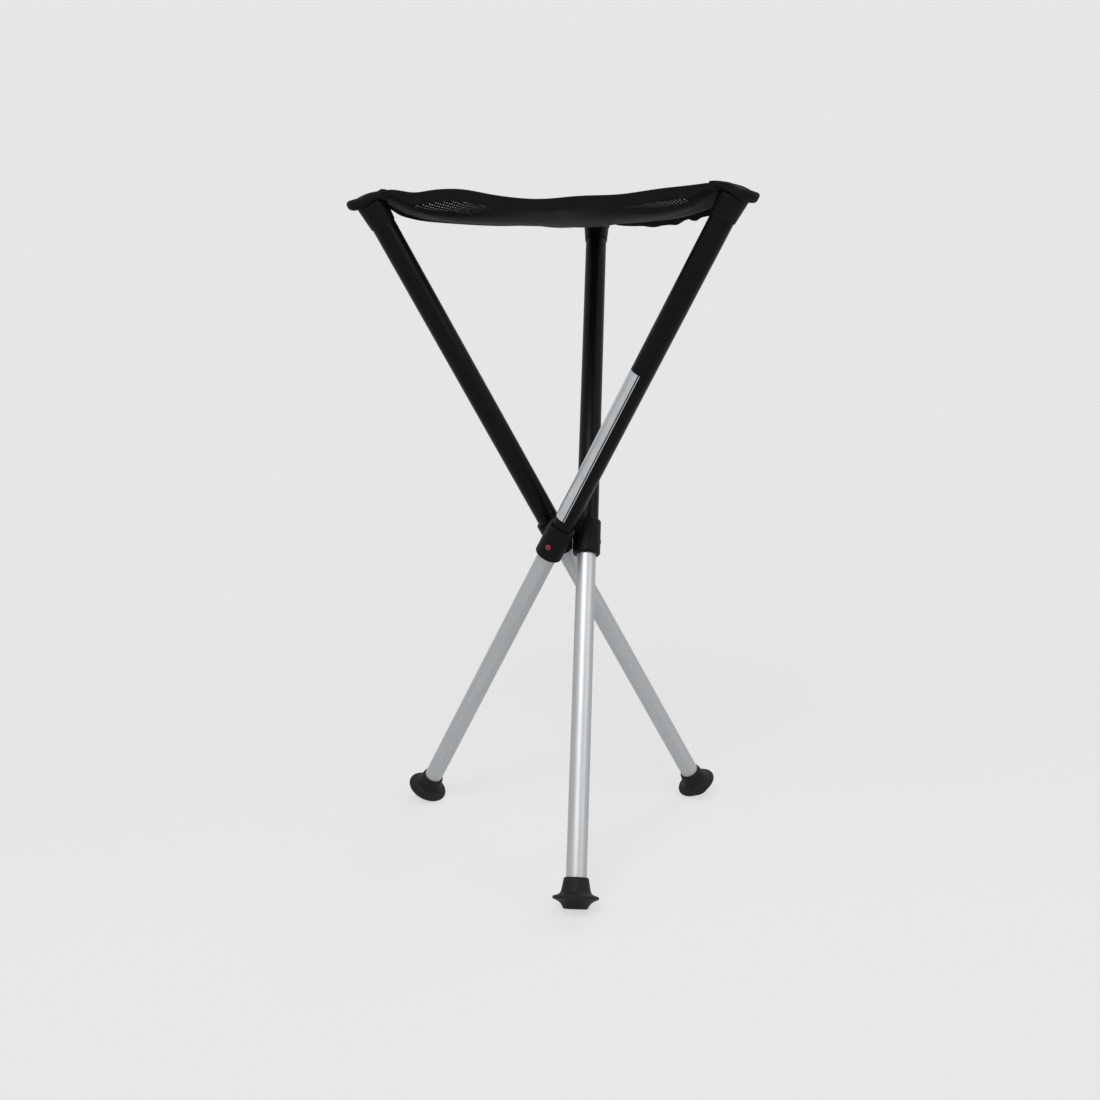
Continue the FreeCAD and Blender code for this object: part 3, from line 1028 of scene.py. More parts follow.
class Third:
    """One third of the seat: a spine from the stool's axis to a corner, with an edge each side."""

    def __init__(self, seat: SeatShape, leg: LegFrame) -> None:
        """Places the third.

        Args:
            seat: The whole seat.
            leg: The leg that carries this third's corner.
        """
        self.seat = seat
        self.leg = leg
        self.drape = seat.drapes[leg.name]
        stool = seat.stool
        pad = stool.pad_frame(leg, seat.pad_thickness / 2)
        centre = np.array(stool.axis)
        middle = np.array(pad @ Vector((0, -seat.pad_inner, 0)))
        self.level = middle[2]
        self.middle = (middle - centre)[:2]
        self.length = float(np.linalg.norm(self.middle))
        self.direction = self.middle / self.length
        self.headings, self.corners, self.corner_heights, self.edge_reach = {}, {}, {}, {}
        for side in SIDES:
            corner = np.array(pad @ Vector((side * seat.pad_half_width, -seat.pad_inner, 0)))
            self.corner_heights[side] = corner[2] - self.level
            self.corners[side] = (corner - centre)[:2]
            turn = -side * math.pi / 3
            x, y = self.direction
            self.headings[side] = np.array([x * math.cos(turn) - y * math.sin(turn),
                                            x * math.sin(turn) + y * math.cos(turn)])
            self.edge_reach[side] = float(self.corners[side] @ self.headings[side])
        self.reach = 0.0

    def edge_on(self, side: int) -> SeatEdge:
        """Which edge lies on one side: the one that starts here, or the one that ends here."""
        end = 0 if side < 0 else 1
        return next(edge for edge in SeatEdge if edge.value[end] == self.leg.name)

    def spine(self, share: np.ndarray) -> np.ndarray:
        """Points of the spine over the plan."""
        return share[:, None] * self.middle

    def edge(self, side: int, share: np.ndarray, outward: float = 0.0) -> np.ndarray:
        """Points of an edge over the plan, from half way to the next corner (share 0).

        Args:
            side: -1 or 1.
            share: How far out along the third.
            outward: Distance outside the edge.

        Returns:
            The points about the stool's axis.
        """
        heading = self.headings[side]
        start = heading * self.reach
        hollow = self.seat.hollow * (1 - share ** 2)
        return (start + share[:, None] * (self.corners[side] - start)
                + (outward - hollow)[:, None] * heading)

    def edge_height(self, side: int, share: np.ndarray) -> np.ndarray:
        """Height of the cloth along an edge.

        Args:
            side: -1 or 1.
            share: How far out along the third.

        Returns:
            The heights in the stool's frame.
        """
        share = np.clip(share, 0.0, 1.0)
        edge = self.edge_on(side)
        along = (1 + side * share) / 2
        sag = sum(depth * np.exp(-0.5 * ((along - place) / width) ** 2)
                  for place, depth, width in self.seat.dips[edge])
        if edge is not SeatEdge.FRONT:
            sag = sag + self.seat.back_sag * (1 - share ** self.drape.edge_power)
        return self.level - sag + self.corner_heights[side] * share ** self.seat.corner_power

    def spine_height(self, share: np.ndarray) -> np.ndarray:
        """Height of the cloth along the spine."""
        share = np.clip(share, 0.0, 1.0)
        return self.level - self.seat.centre_sag * (1 - share ** self.drape.spine_power)

    def locate(self, plan: np.ndarray, side: int) -> tuple[np.ndarray, np.ndarray, np.ndarray]:
        """Finds how far out and how far across points lie.

        Args:
            plan: Points on one side of the spine.
            side: That side.

        Returns:
            The share along, the share across, and the width from spine to edge there.
        """
        low, high = np.zeros(len(plan)), np.full(len(plan), self.seat.search_reach)
        for _ in range(self.seat.search_steps):
            share = (low + high) / 2
            near = self.spine(share)
            ray = self.edge(side, share) - near
            offset = plan - near
            beyond = side * (ray[:, 0] * offset[:, 1] - ray[:, 1] * offset[:, 0]) > 0
            low, high = np.where(beyond, share, low), np.where(beyond, high, share)
        width = np.linalg.norm(ray, axis=1)
        return share, (offset * ray).sum(1) / width ** 2, width

    def sides(self, plan: np.ndarray) -> np.ndarray:
        """Which side of the spine each point lies on."""
        cross = self.direction[0] * plan[:, 1] - self.direction[1] * plan[:, 0]
        return np.where(cross < 0, 1, -1)

    def height(self, side: int, share: np.ndarray, across: np.ndarray) -> np.ndarray:
        """Height of the cloth at shares along and across one half.

        Args:
            side: -1 or 1.
            share: How far out along the third.
            across: How far across from the spine to the edge.

        Returns:
            The heights in the stool's frame.
        """
        seat = self.seat
        spine = self.spine_height(share)
        reach = np.clip(share, 0.0, 1.0)
        across = np.clip(across, 0.0, 1.0)
        folds = (np.sin(math.tau * seat.wrinkle_count * across + seat.wrinkle_skew * reach)
                 * reach ** 2 * (1 - reach ** seat.wrinkle_end) * across * seat.wrinkle)
        return (spine + (self.edge_height(side, share) - spine) * across ** (2 + 2 * reach)
                + folds * np.clip((1 - across) / seat.wrinkle_margin, 0, 1))

    def survey(self, plan: np.ndarray) -> tuple[np.ndarray, np.ndarray]:
        """Height of the cloth and distance to its edge at points of the plan.

        Args:
            plan: Points about the stool's axis, all in this third.

        Returns:
            The heights and the distances.
        """
        sides = self.sides(plan)
        heights, rooms = np.zeros(len(plan)), np.zeros(len(plan))
        for side in SIDES:
            chosen = sides == side
            if chosen.any():
                share, across, width = self.locate(plan[chosen], side)
                heights[chosen] = self.height(side, share, across)
                rooms[chosen] = (1 - across) * width
        return heights, rooms

    def world(self, plan: np.ndarray, heights: np.ndarray) -> np.ndarray:
        """Points in the stool's frame from the plan and their heights."""
        axis = self.seat.stool.axis
        return np.column_stack([plan[:, 0] + axis.x, plan[:, 1] + axis.y, heights])


@dataclass
class SeatCloth:
    """The net, its hem and its sewn corner patches, on the seat's shape."""

    shape: SeatShape
    pitch: float = 0.0026
    slant: float = math.radians(17.0)
    lattice_spare: float = 0.03
    weld_decimals: int = 6
    hole_share: float = 0.28
    yarn: float = 0.0005
    net_width_share: float = 0.93
    net_slack: float = 1.06
    edge_room: float = 0.0004
    rim_width: float = 0.0050
    rim_drop: float = 0.0028
    tuck: float = 0.02
    patch_inner: float = 0.80
    patch_curve: float = 0.05
    patch_thickness: float = 0.0022
    patch_edge: float = 0.3
    patch_chart: float = 0.03
    patch_slack: float = 1.1
    patch_rows: int = 16
    patch_columns: int = 14
    hem_depth: float = 0.013
    hem_end_depth: float = 0.0055
    hem_taper: float = 0.80
    hem_end: float = 1.0
    hem_close_from: float = 0.95
    hem_sink: float = 0.0020
    hem_slim: float = 0.45
    hem_rise: float = 0.0002
    hem_width: float = 0.0036
    hem_waist: float = 0.0003
    hem_belly: float = 0.0002
    hem_leaf: float = 0.0009
    hem_offset: float = 0.0012
    hem_lean: float = 0.0016
    hem_seams: tuple[float, float] = (0.25, 0.78)
    hem_middle: float = 0.5
    hem_lip: float = 0.9
    hem_pocket: tuple[float, float] = (0.14, 0.22)
    hem_bends: tuple[int, ...] = (-60, -30, 0, 30, 60)
    hem_rings: int = 90
    stitch_pitch: float = 0.0036
    stitch_from: float = 0.004
    stitch_to: float = 0.985
    stitch_sunk: float = 0.0001
    stitch_size: tuple[float, float] = (0.0026, 0.0006)
    stitch_lines: tuple[float, ...] = (0.25, 0.77)
    area_points: int = 40
    length_points: int = 60
    blend_start: float = 0.985
    blend_end: float = 0.46
    sharp: float = 50.0

    def build(self, looks: dict[str, bpy.types.Material]) -> None:
        """Makes every cloth piece of the seat and gives it its material.

        Args:
            looks: Materials by name.
        """
        cells = self.lattice()
        for number, name in enumerate(LEG_NAMES):
            third = self.shape.thirds[name]
            stitches = self.stitching(third)
            hem = self.hem(third)
            net = self.net(third, cells[self.shape.owners(cells) == number])
            patch = self.patch(third)
            for piece, look, slot in ((net, "net", "mesh_fabric"), (hem, "tape", "hem_tape"),
                                      (stitches, "thread", "hem_tape"), (patch, "patch", "webbing")):
                piece.data.materials.append(looks[look])
                self.along(third, self.blend_start)
                self.along(third, self.blend_end)
                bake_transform(piece)
                LOG.info("%s: %d faces", piece.name, len(piece.data.polygons))
            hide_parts(f"seat_net_{name}")
            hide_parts(f"seat_hem_{name}")
            self.area(third)
            2 * self.hem_depth + self.hem_width
            self.hem_length(third)
            patch_length = third.length * (1 - self.patch_inner)
            self.patch_width(third)
            patch_length * self.patch_slack

    def along(self, third: Third, share: float) -> tuple[float, float, float]:
        """A point of the spine in the stool's frame, at the cloth's level."""
        point = third.world(third.spine(np.array([share])), np.array([third.level]))[0]
        return tuple(float(value) for value in point)

    def lattice(self) -> np.ndarray:
        """Centres of the net's cells over the whole plan, about the stool's axis.

        Returns:
            The centres, one to a row.
        """
        reach = max(third.length for third in self.shape.thirds.values()) + self.lattice_spare
        row_gap = self.pitch * math.sqrt(3) / 2
        rows, columns = int(reach / row_gap), int(reach / self.pitch)
        cells = np.array([((column + row % 2 / 2) * self.pitch, row * row_gap)
                          for row in range(-rows, rows + 1) for column in range(-columns, columns + 1)])
        return cells @ self.turn().T

    def turn(self) -> np.ndarray:
        """The net's slant in the plan, as a matrix."""
        cosine, sine = math.cos(self.slant), math.sin(self.slant)
        return np.array(((cosine, -sine), (sine, cosine)))

    def net(self, third: Third, cells: np.ndarray) -> bpy.types.Object:
        """One third of the net: a ring of yarn round each hole.

        Args:
            third: The third of the seat.
            cells: Centres of the cells that belong to it.

        Returns:
            The net.
        """
        keep = np.zeros(len(cells), bool)
        sides = third.sides(cells)
        for side in SIDES:
            chosen = sides == side
            share, across, width = third.locate(cells[chosen], side)
            keep[chosen] = (share < 1 + self.tuck) & ((1 - across) * width > self.edge_room)
        cells = cells[keep]
        corners = 6
        angles = np.radians(30 + 60 * np.arange(corners))
        spokes = np.column_stack([np.cos(angles), np.sin(angles)]) @ self.turn().T
        spokes *= self.pitch / math.sqrt(3)
        outer = (cells[:, None, :] + spokes).reshape(-1, 2)
        shared, index = np.unique(np.round(outer, self.weld_decimals), axis=0, return_inverse=True)
        inner = (cells[:, None, :] + spokes * self.hole_share).reshape(-1, 2)
        index = index.reshape(-1, corners)
        holes = np.arange(len(inner)).reshape(-1, corners) + len(shared)
        faces = []
        for corner in range(corners):
            after = (corner + 1) % corners
            faces.append(np.column_stack([index[:, corner], index[:, after],
                                          holes[:, after], holes[:, corner]]))
        plan = np.vstack([shared, inner])
        heights, rooms = self.shape.survey(plan)
        heights -= self.rim(rooms)
        net = woven(f"seat_net_{third.leg.name}_cloth", third.world(plan, heights),
                    np.vstack(faces).tolist())
        finish_with(net, "SOLIDIFY", thickness=self.yarn, offset=0.0)
        return net

    def rim(self, rooms: np.ndarray) -> np.ndarray:
        """How far the cloth dips into the hem, by the distance to its edge."""
        return self.rim_drop * np.clip(1 - rooms / self.rim_width, 0, 1) ** 2

    def area(self, third: Third) -> float:
        """Area of one third of the seat over the plan.

        Args:
            third: The third of the seat.

        Returns:
            The area in square metres.
        """
        share = np.linspace(0, 1, self.area_points)
        total = 0.0
        for side in SIDES:
            ring = np.vstack([third.spine(share), third.edge(side, share)[::-1]])
            x, y = ring[:, 0], ring[:, 1]
            total += abs(float(np.dot(x, np.roll(y, -1)) - np.dot(y, np.roll(x, -1)))) / 2
        return total

    def hem_line(self, third: Third, side: int, shares: np.ndarray) -> tuple[np.ndarray, ...]:
        """The hem's route along one edge.

        Args:
            third: The third of the seat.
            side: The edge's side.
            shares: Where along the edge.

        Returns:
            Points of the fold, the way along and the way out at each.
        """
        plan = third.edge(side, shares, self.hem_offset)
        line = third.world(plan, third.edge_height(side, shares) + self.hem_rise
                           - self.hem_sink * self.hem_closing(shares))
        along = np.gradient(line, axis=0)
        along /= np.linalg.norm(along, axis=1)[:, None]
        out = np.cross(along, (0, 0, 1)) * side
        out /= np.linalg.norm(out, axis=1)[:, None]
        if (out[0, :2] @ third.headings[side]) < 0:
            out = -out
        return line, along, out

    def hem_length(self, third: Third) -> float:
        """Length of the hem along both edges of one third.

        Args:
            third: The third of the seat.

        Returns:
            The length in metres.
        """
        total = 0.0
        for side in SIDES:
            line = self.hem_line(third, side, np.linspace(0, 1, self.length_points))[0]
            total += float(np.linalg.norm(np.diff(line, axis=0), axis=1).sum())
        return total

    def hem_depths(self, shares: np.ndarray) -> np.ndarray:
        """Depth of the hem, which gets shallow towards the corner.

        Args:
            shares: Where along the edge.

        Returns:
            The depths.
        """
        rise = np.clip((shares - self.hem_taper) / (1 - self.hem_taper), 0, 1)
        rise = rise * rise * (3 - 2 * rise)
        return self.hem_depth + (self.hem_end_depth - self.hem_depth) * rise

    def hem_closing(self, shares: np.ndarray) -> np.ndarray:
        """How far the hem has closed up under its corner, 0 to 1."""
        rise = np.clip((shares - self.hem_close_from) / (self.hem_end - self.hem_close_from), 0, 1)
        return rise * rise

    def hem_section(self) -> np.ndarray:
        """Outline of the folded tape: two leaves that hang from a rounded fold.

        Returns:
            Points across and down of a closed ring.
        """
        half, depth, waist = self.hem_width / 2, self.hem_depth, self.hem_waist
        upper_seam, lower_seam = self.hem_seams
        outer = [(half, 0.0), (half - waist, upper_seam), (half + self.hem_belly, self.hem_middle),
                 (half - waist, lower_seam), (half * self.hem_lip, 1.0)]
        bend = [(half * math.sin(math.radians(turn)), half * (1 - math.cos(math.radians(turn))) / depth)
                for turn in self.hem_bends]
        right = [(x, max(down, half / depth)) for x, down in outer]
        left = [(-x, down) for x, down in reversed(right)]
        inside = half - self.hem_leaf
        roof, shoulder = self.hem_pocket
        inner = [(inside, 1.0), (inside, self.hem_middle), (inside, shoulder), (inside / 2, roof)]
        inner += [(-x, down) for x, down in reversed(inner)]
        ring = bend + right + inner + left
        return np.array([(x - self.hem_lean * down, -down * depth) for x, down in ring])

    def hem(self, third: Third) -> bpy.types.Object:
        """The folded tape along both edges of one third.

        Args:
            third: The third of the seat.

        Returns:
            The tape.
        """
        section = self.hem_section()
        count = self.hem_rings
        lap = np.concatenate([[0.0], np.cumsum(np.linalg.norm(np.diff(section, axis=0), axis=1))])
        points, faces, chart = [], [], []
        for side in SIDES:
            shares = np.linspace(0, self.hem_end, count)
            line, _, out = self.hem_line(third, side, shares)
            length = np.concatenate([[0.0], np.cumsum(np.linalg.norm(np.diff(line, axis=0), axis=1))])
            flip = section[::-1] if side > 0 else section
            start = sum(len(ring) for ring in points)
            depths = (self.hem_depths(shares) / self.hem_depth)[:, None, None]
            slim = (1 - self.hem_slim * self.hem_closing(shares))[:, None, None]
            rings = (line[:, None, :] + out[:, None, :] * flip[None, :, :1] * slim
                     + UP * flip[None, :, 1:] * depths)
            points.append(rings.reshape(-1, 3))
            laps = lap[::-1] if side > 0 else lap
            chart.append(np.column_stack([np.tile(laps, count), np.repeat(length, len(section))]))
            faces += lofted_faces(count, len(section), True, start)
        hem = woven(f"seat_hem_{third.leg.name}_tape", np.vstack(points), faces, np.vstack(chart))
        face_out(hem)
        smooth(hem, self.sharp)
        return hem

    def stitching(self, third: Third) -> bpy.types.Object:
        """Rows of stitches on the hem's outer and inner leaves.

        Args:
            third: The third of the seat.

        Returns:
            The stitches.
        """
        places = []
        for side in SIDES:
            count = int(self.hem_length(third) / 2 / self.stitch_pitch)
            shares = np.linspace(self.stitch_from, self.stitch_to, count)
            line, along, out = self.hem_line(third, side, shares)
            depths = self.hem_depths(shares)[:, None]
            for row in self.stitch_lines:
                for face in SIDES:
                    offset = face * (self.hem_width / 2 - self.stitch_sunk) - self.hem_lean * row
                    places += list(zip(line + out * offset - UP * depths * row, along, out))
        return stitch_rows(f"hem_stitches_{third.leg.name}", places, *self.stitch_size)

    def patch_width(self, third: Third) -> float:
        """Mean width of a corner patch across the third."""
        share = np.array([(1 + self.patch_inner) / 2])
        return sum(float(np.linalg.norm(third.edge(side, share) - third.spine(share))) for side in SIDES)

    def patch(self, third: Third) -> bpy.types.Object:
        """The sewn reinforcement between a corner and the net.

        Args:
            third: The third of the seat.

        Returns:
            The patch.
        """
        rows, half = self.patch_rows, self.patch_columns
        across = np.concatenate([-np.linspace(1, 0, half), np.linspace(0, 1, half)[1:]])
        inner = self.patch_inner + self.patch_curve * across ** 2
        rooms = (1 - np.abs(across)) * third.length / 3
        layers, chart = [], []
        for up in (1, -1):
            for row in range(rows):
                share = inner + (1 + self.tuck - inner) * row / (rows - 1)
                plan = np.zeros((len(across), 2))
                height = np.zeros(len(across))
                for side in SIDES:
                    chosen = (across * side > 0) | ((across == 0) & (side == 1))
                    size = np.abs(across[chosen])
                    near = third.spine(share[chosen])
                    edge = third.edge(side, share[chosen])
                    plan[chosen] = near + (edge - near) * size[:, None]
                    height[chosen] = third.height(side, share[chosen], size)
                edge_round = self.patch_edge if row == 0 else 1.0
                height = height - self.rim(rooms) + up * self.patch_thickness / 2 * edge_round
                layers.append(third.world(plan, height))
                chart.append(np.column_stack([across * self.patch_chart, share * third.length]))
        patch = woven(f"corner_patch_{third.leg.name}", np.vstack(layers),
                      self.slab_faces(rows, len(across)), np.vstack(chart))
        face_out(patch)
        smooth(patch, self.sharp)
        return patch

    @staticmethod
    def slab_faces(rows: int, columns: int) -> list[tuple[int, ...]]:
        """Faces of a thin slab: a grid on top, the same grid below and a wall round both.

        Args:
            rows: Rows of points on each side.
            columns: Points in each row.

        Returns:
            The faces, as point numbers.
        """
        below = rows * columns
        top = lofted_faces(rows, columns, False)
        under = [tuple(reversed([number + below for number in face])) for face in top]
        rim = list(range(columns))
        rim += [row * columns + columns - 1 for row in range(1, rows)]
        rim += [(rows - 1) * columns + column for column in reversed(range(columns - 1))]
        rim += [row * columns for row in reversed(range(1, rows - 1))]
        walls = []
        for number, first in enumerate(rim):
            second = rim[(number + 1) % len(rim)]
            walls.append((second, first, first + below, second + below))
        return top + under + walls


# Each ring of a stitch: its place along the stitch, and its share of the full width.
STITCH_RINGS = ((-0.5, 0.35), (-0.3, 1.0), (0.3, 1.0), (0.5, 0.35))
STITCH_CORNERS = 6
STITCH_SHARP = 60.0


def stitch_rows(name: str, places: Sequence[tuple[np.ndarray, np.ndarray, np.ndarray]],
                length: float, width: float) -> bpy.types.Object:
    """Many like stitches as one piece.

    Args:
        name: The piece's name.
        places: Middle, way along and way out of each stitch.
        length: Length of a stitch.
        width: Width of a stitch.

    Returns:
        The stitches.
    """
    angles = [math.tau * corner / STITCH_CORNERS for corner in range(STITCH_CORNERS)]
    round_section = [(math.cos(angle), math.sin(angle)) for angle in angles]
    template = np.array([(length * at, width / 2 * size * x, width / 2 * size * y)
                         for at, size in STITCH_RINGS for x, y in round_section])
    faces = lofted_faces(len(STITCH_RINGS), STITCH_CORNERS, True)
    points, all_faces = [], []
    for number, (centre, along, out) in enumerate(places):
        across = np.cross(out, along)
        across /= np.linalg.norm(across)
        points.append(centre + template[:, :1] * along + template[:, 1:2] * across
                      + template[:, 2:] * out)
        shift = number * len(template)
        all_faces += [tuple(corner + shift for corner in face) for face in faces]
    piece = woven(name, np.vstack(points), all_faces)
    face_out(piece)
    smooth(piece, STITCH_SHARP)
    return piece


@dataclass
class CornerPads:
    """The padded, sewn corners of the seat that sit on the legs' caps."""

    stool: Stool
    nose: float = 0.0247
    half_width: float = 0.0160
    inner: float = 0.0175
    inner_half_width: float = 0.0265
    crown: float = 0.0106
    crown_slope: float = 0.12
    crown_curve: float = 8.5
    inner_curve: float = 13.5
    flap_drop: float = 0.0060
    flap_clear: float = 0.0172
    flap_blend: float = 0.0040
    nose_rise: float = 0.33
    nose_rise_from: float = 0.0100
    nose_lift: float = 0.40
    nose_lift_from: float = 0.0160
    nose_round: float = 0.0048
    recess_floor: float = 0.0052
    recess: float = 0.0074
    rib_pitch: float = 0.0021
    rib_height: float = 0.00032
    rib_from: float = 0.0150
    rib_ramp: float = 0.0030
    recess_blend: float = 0.35
    recess_skin: float = 0.0002
    flare_power: float = 1.4
    tip_flatness: float = 0.92
    flap_start: float = 0.0030
    flap_ramp: float = 0.0070
    end_length: float = 0.0030
    end_round: float = 0.5
    row_spread: float = 1.25
    side_power: float = 0.5
    top_power: float = 0.62
    tip_gap: float = 0.00025
    rows: int = 110
    columns: int = 56
    stitch_inset: float = 0.0034
    stitch_lead: float = 0.6
    stitch_start: float = 0.0040
    stitch_stop: float = 0.0010
    stitch_points: int = 60
    stitch_sunk: float = 0.0008
    stitch_step: float = 0.0034
    stitch_size: tuple[float, float] = (0.0024, 0.0007)
    sharp: float = 70.0

    def build(self, looks: dict[str, bpy.types.Material]) -> None:
        """Makes the three corners.

        Args:
            looks: Materials by name.
        """
        for name, leg in self.stool.legs.items():
            pad = self.pad(name, self.stool.pad_frame(leg))
            pad.data.materials.append(looks["webbing"])
            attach(pad, f"leg_{name}")
            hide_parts(f"corner_pad_{name}")
            stitches = self.stitching(name, self.stool.pad_frame(leg))
            stitches.data.materials.append(looks["thread"])
            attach(stitches, f"leg_{name}")
            LOG.info("%s: %d faces", pad.name, len(pad.data.polygons))

    def half(self, y: float) -> float:
        """Half the corner's width.

        Args:
            y: Distance from the leg's axis.

        Returns:
            Half the width there.
        """
        flare = min(1.0, max(0.0, -y / self.inner))
        wide = self.half_width + (self.inner_half_width - self.half_width) * flare ** self.flare_power
        start = self.nose - self.half_width
        if y > start:
            share = min(1.0, (y - start) / self.half_width)
            wide = self.half_width * math.sqrt(max(0.0, 1 - share ** 2))
        return wide

    def level(self, x: float, y: float) -> tuple[float, float]:
        """Top and underside of the corner.

        Args:
            x: Distance across.
            y: Distance from the leg's axis.

        Returns:
            Heights over the cap's top face.
        """
        lift = self.nose_lift * max(0.0, y - self.nose_lift_from)
        curve = self.crown_curve if y > 0 else self.inner_curve
        top = (self.crown + self.crown_slope * y - curve * y * y
               + self.nose_rise * max(0.0, y - self.nose_rise_from))
        tip = min(1.0, max(0.0, (y - self.nose + self.nose_round) / self.nose_round))
        middle = (top + lift) / 2
        half = (top - lift) / 2 * math.sqrt(1 - self.tip_flatness * tip ** 2)
        top, lift = middle + half, middle - half - self.flap(x, y)
        past = 1 + self.recess_blend - math.hypot(x, y) / self.recess
        if past > 0:
            blend = min(1.0, past / self.recess_blend)
            blend = blend * blend * (3 - 2 * blend)
            top += (self.recess_floor + self.recess_skin - top) * blend
        rib = max(0.0, min(1.0, (y - self.rib_from) / self.rib_ramp))
        top += rib * self.rib_height * math.sin(math.tau * y / self.rib_pitch)
        return top, lift

    def flap(self, x: float, y: float) -> float:
        """How far the corner's inner wings hang down beside the cap.

        Args:
            x: Distance across.
            y: Distance from the leg's axis.

        Returns:
            The drop at that place.
        """
        beside = min(1.0, max(0.0, (math.hypot(x, y) - self.flap_clear) / self.flap_blend))
        inner = min(1.0, max(0.0, (-y - self.flap_start) / self.flap_ramp))
        return self.flap_drop * beside * inner

    def pad(self, name: str, place: Matrix) -> bpy.types.Object:
        """One closed corner form.

        Args:
            name: The leg's letter.
            place: The corner's frame.

        Returns:
            The pad.
        """
        points, chart = [], []
        for row in range(self.rows):
            share = row / (self.rows - 1)
            y = -self.inner + (self.nose + self.inner) * (1 - (1 - share) ** self.row_spread)
            y = min(y, self.nose - self.tip_gap)
            half = self.half(y)
            for column in range(self.columns):
                angle = math.tau * column / self.columns
                across = math.copysign(abs(math.cos(angle)) ** self.side_power, math.cos(angle))
                upward = math.copysign(abs(math.sin(angle)) ** self.top_power, math.sin(angle))
                x = half * across
                top, under = self.level(x, y)
                end = 1 - self.end_round * max(0.0, 1 - (y + self.inner) / self.end_length) ** 2
                middle = (top + under + self.flap(x, y)) / 2
                z = middle + (top - middle if upward > 0 else middle - under) * upward * end
                points.append(place @ Vector((x, y, z)))
                chart.append((across * half, y))
        pad = woven(f"seat_corner_{name}", np.array(points),
                    lofted_faces(self.rows, self.columns, True), np.array(chart))
        face_out(pad)
        smooth(pad, self.sharp)
        return pad

    def stitching(self, name: str, place: Matrix) -> bpy.types.Object:
        """Stitches round the corner's rim and across its inner end.

        Args:
            name: The leg's letter.
            place: The corner's frame.

        Returns:
            The stitches.
        """
        inset = self.stitch_inset
        route = []
        for y in np.linspace(-self.inner + self.stitch_start, self.nose - inset - self.stitch_stop,
                             self.stitch_points):
            x = self.half(float(y) + inset * self.stitch_lead) - inset
            if x > self.stitch_stop:
                route.append((x, float(y)))
        route += [(-x, y) for x, y in reversed(route)]
        line = [Vector((x, y, self.level(x, y)[0] - self.stitch_sunk)) for x, y in route]
        turn = place.to_3x3()
        up = np.array(turn @ Vector((0, 0, 1)))
        places = []
        gone = 0.0
        for first, second in zip(line, line[1:]):
            length = (second - first).length
            tangent = np.array(turn @ (second - first).normalized())
            while gone < length:
                places.append((np.array(place @ first.lerp(second, gone / length)), tangent, up))
                gone += self.stitch_step
            gone -= length
        return stitch_rows(f"corner_stitches_{name}", places, *self.stitch_size)


@dataclass
class Feet:
    """The rubber feet, turned and trimmed to the floor."""

    stool: Stool
    segments: int = 96
    sharp: float = 40.0
    profile: tuple[tuple[float, float], ...] = (
        (0.0090, 0.0016), (0.0105, 0.0000), (0.0128, 0.0000), (0.0137, 0.0008), (0.0148, 0.0030),
        (0.0166, 0.0056), (0.0192, 0.0077), (0.0226, 0.0093), (0.0248, 0.0101), (0.0255, 0.0109),
        (0.0257, 0.0117), (0.0255, 0.0125), (0.0248, 0.0133), (0.0232, 0.0139), (0.0204, 0.0147),
        (0.0183, 0.0158), (0.0170, 0.0173), (0.0163, 0.0191), (0.0158, 0.0215), (0.0149, 0.0263),
        (0.0140, 0.0314), (0.0138, 0.0323), (0.0133, 0.0329), (0.0126, 0.0331), (0.01165, 0.0331))

    def build(self, looks: dict[str, bpy.types.Material]) -> None:
        """Makes the three feet.

        Args:
            looks: Materials by name.
        """
        for name, leg in self.stool.legs.items():
            foot = turned(f"rubber_foot_{name}", self.profile, self.segments)
            settle(foot, leg.matrix @ Matrix.Translation((0, 0, self.stool.sole)))
            self.trim(foot)
            smooth(foot, self.sharp)
            foot.data.materials.append(looks["rubber"])
            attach(foot, f"lower_{name}")
            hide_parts(f"foot_{name}")
            LOG.info("%s: %d faces", foot.name, len(foot.data.polygons))

    @staticmethod
    def trim(foot: bpy.types.Object) -> None:
        """Cuts away what would reach below the floor, and closes the cut.

        Args:
            foot: The foot, in its place.
        """
        only(foot)
        bpy.ops.object.mode_set(mode="EDIT")
        bpy.ops.mesh.select_all(action="SELECT")
        bpy.ops.mesh.bisect(plane_co=(0, 0, 0), plane_no=(0, 0, 1), use_fill=True, clear_inner=True)
        leave_outward()


@dataclass
class CarriedNodes:
    """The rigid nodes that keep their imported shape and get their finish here."""

    looks_by_kind: dict[str, str] = field(default_factory=lambda: {
        "top_cap": "plastic", "collar": "plastic", "guide_bush": "plastic", "lock_button": "red",
        "corner_washer": "black_steel", "corner_screw": "black_steel", "pivot_screw": "steel",
        "pivot_washer": "steel", "foot_washer": "steel", "lock_spring": "steel", "foot": "rubber",
        "corner_pad": "webbing", "seat_net": "net", "seat_hem": "tape"})
    looks_by_name: dict[str, str] = field(default_factory=lambda: {
        "hub_core": "plastic", "foil_strip": "foil"})

    def dress(self, looks: dict[str, bpy.types.Material]) -> None:
        """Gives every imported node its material.

        Args:
            looks: Materials by name.
        """
        for name, node in frame["nodes"].items():
            kind = name.rpartition("_")[0]
            look = self.looks_by_name.get(name) or self.looks_by_kind.get(kind) or name
            node.data.materials.clear()
            node.data.materials.append(looks[look])
            LOG.info("%s: %s", name, look)


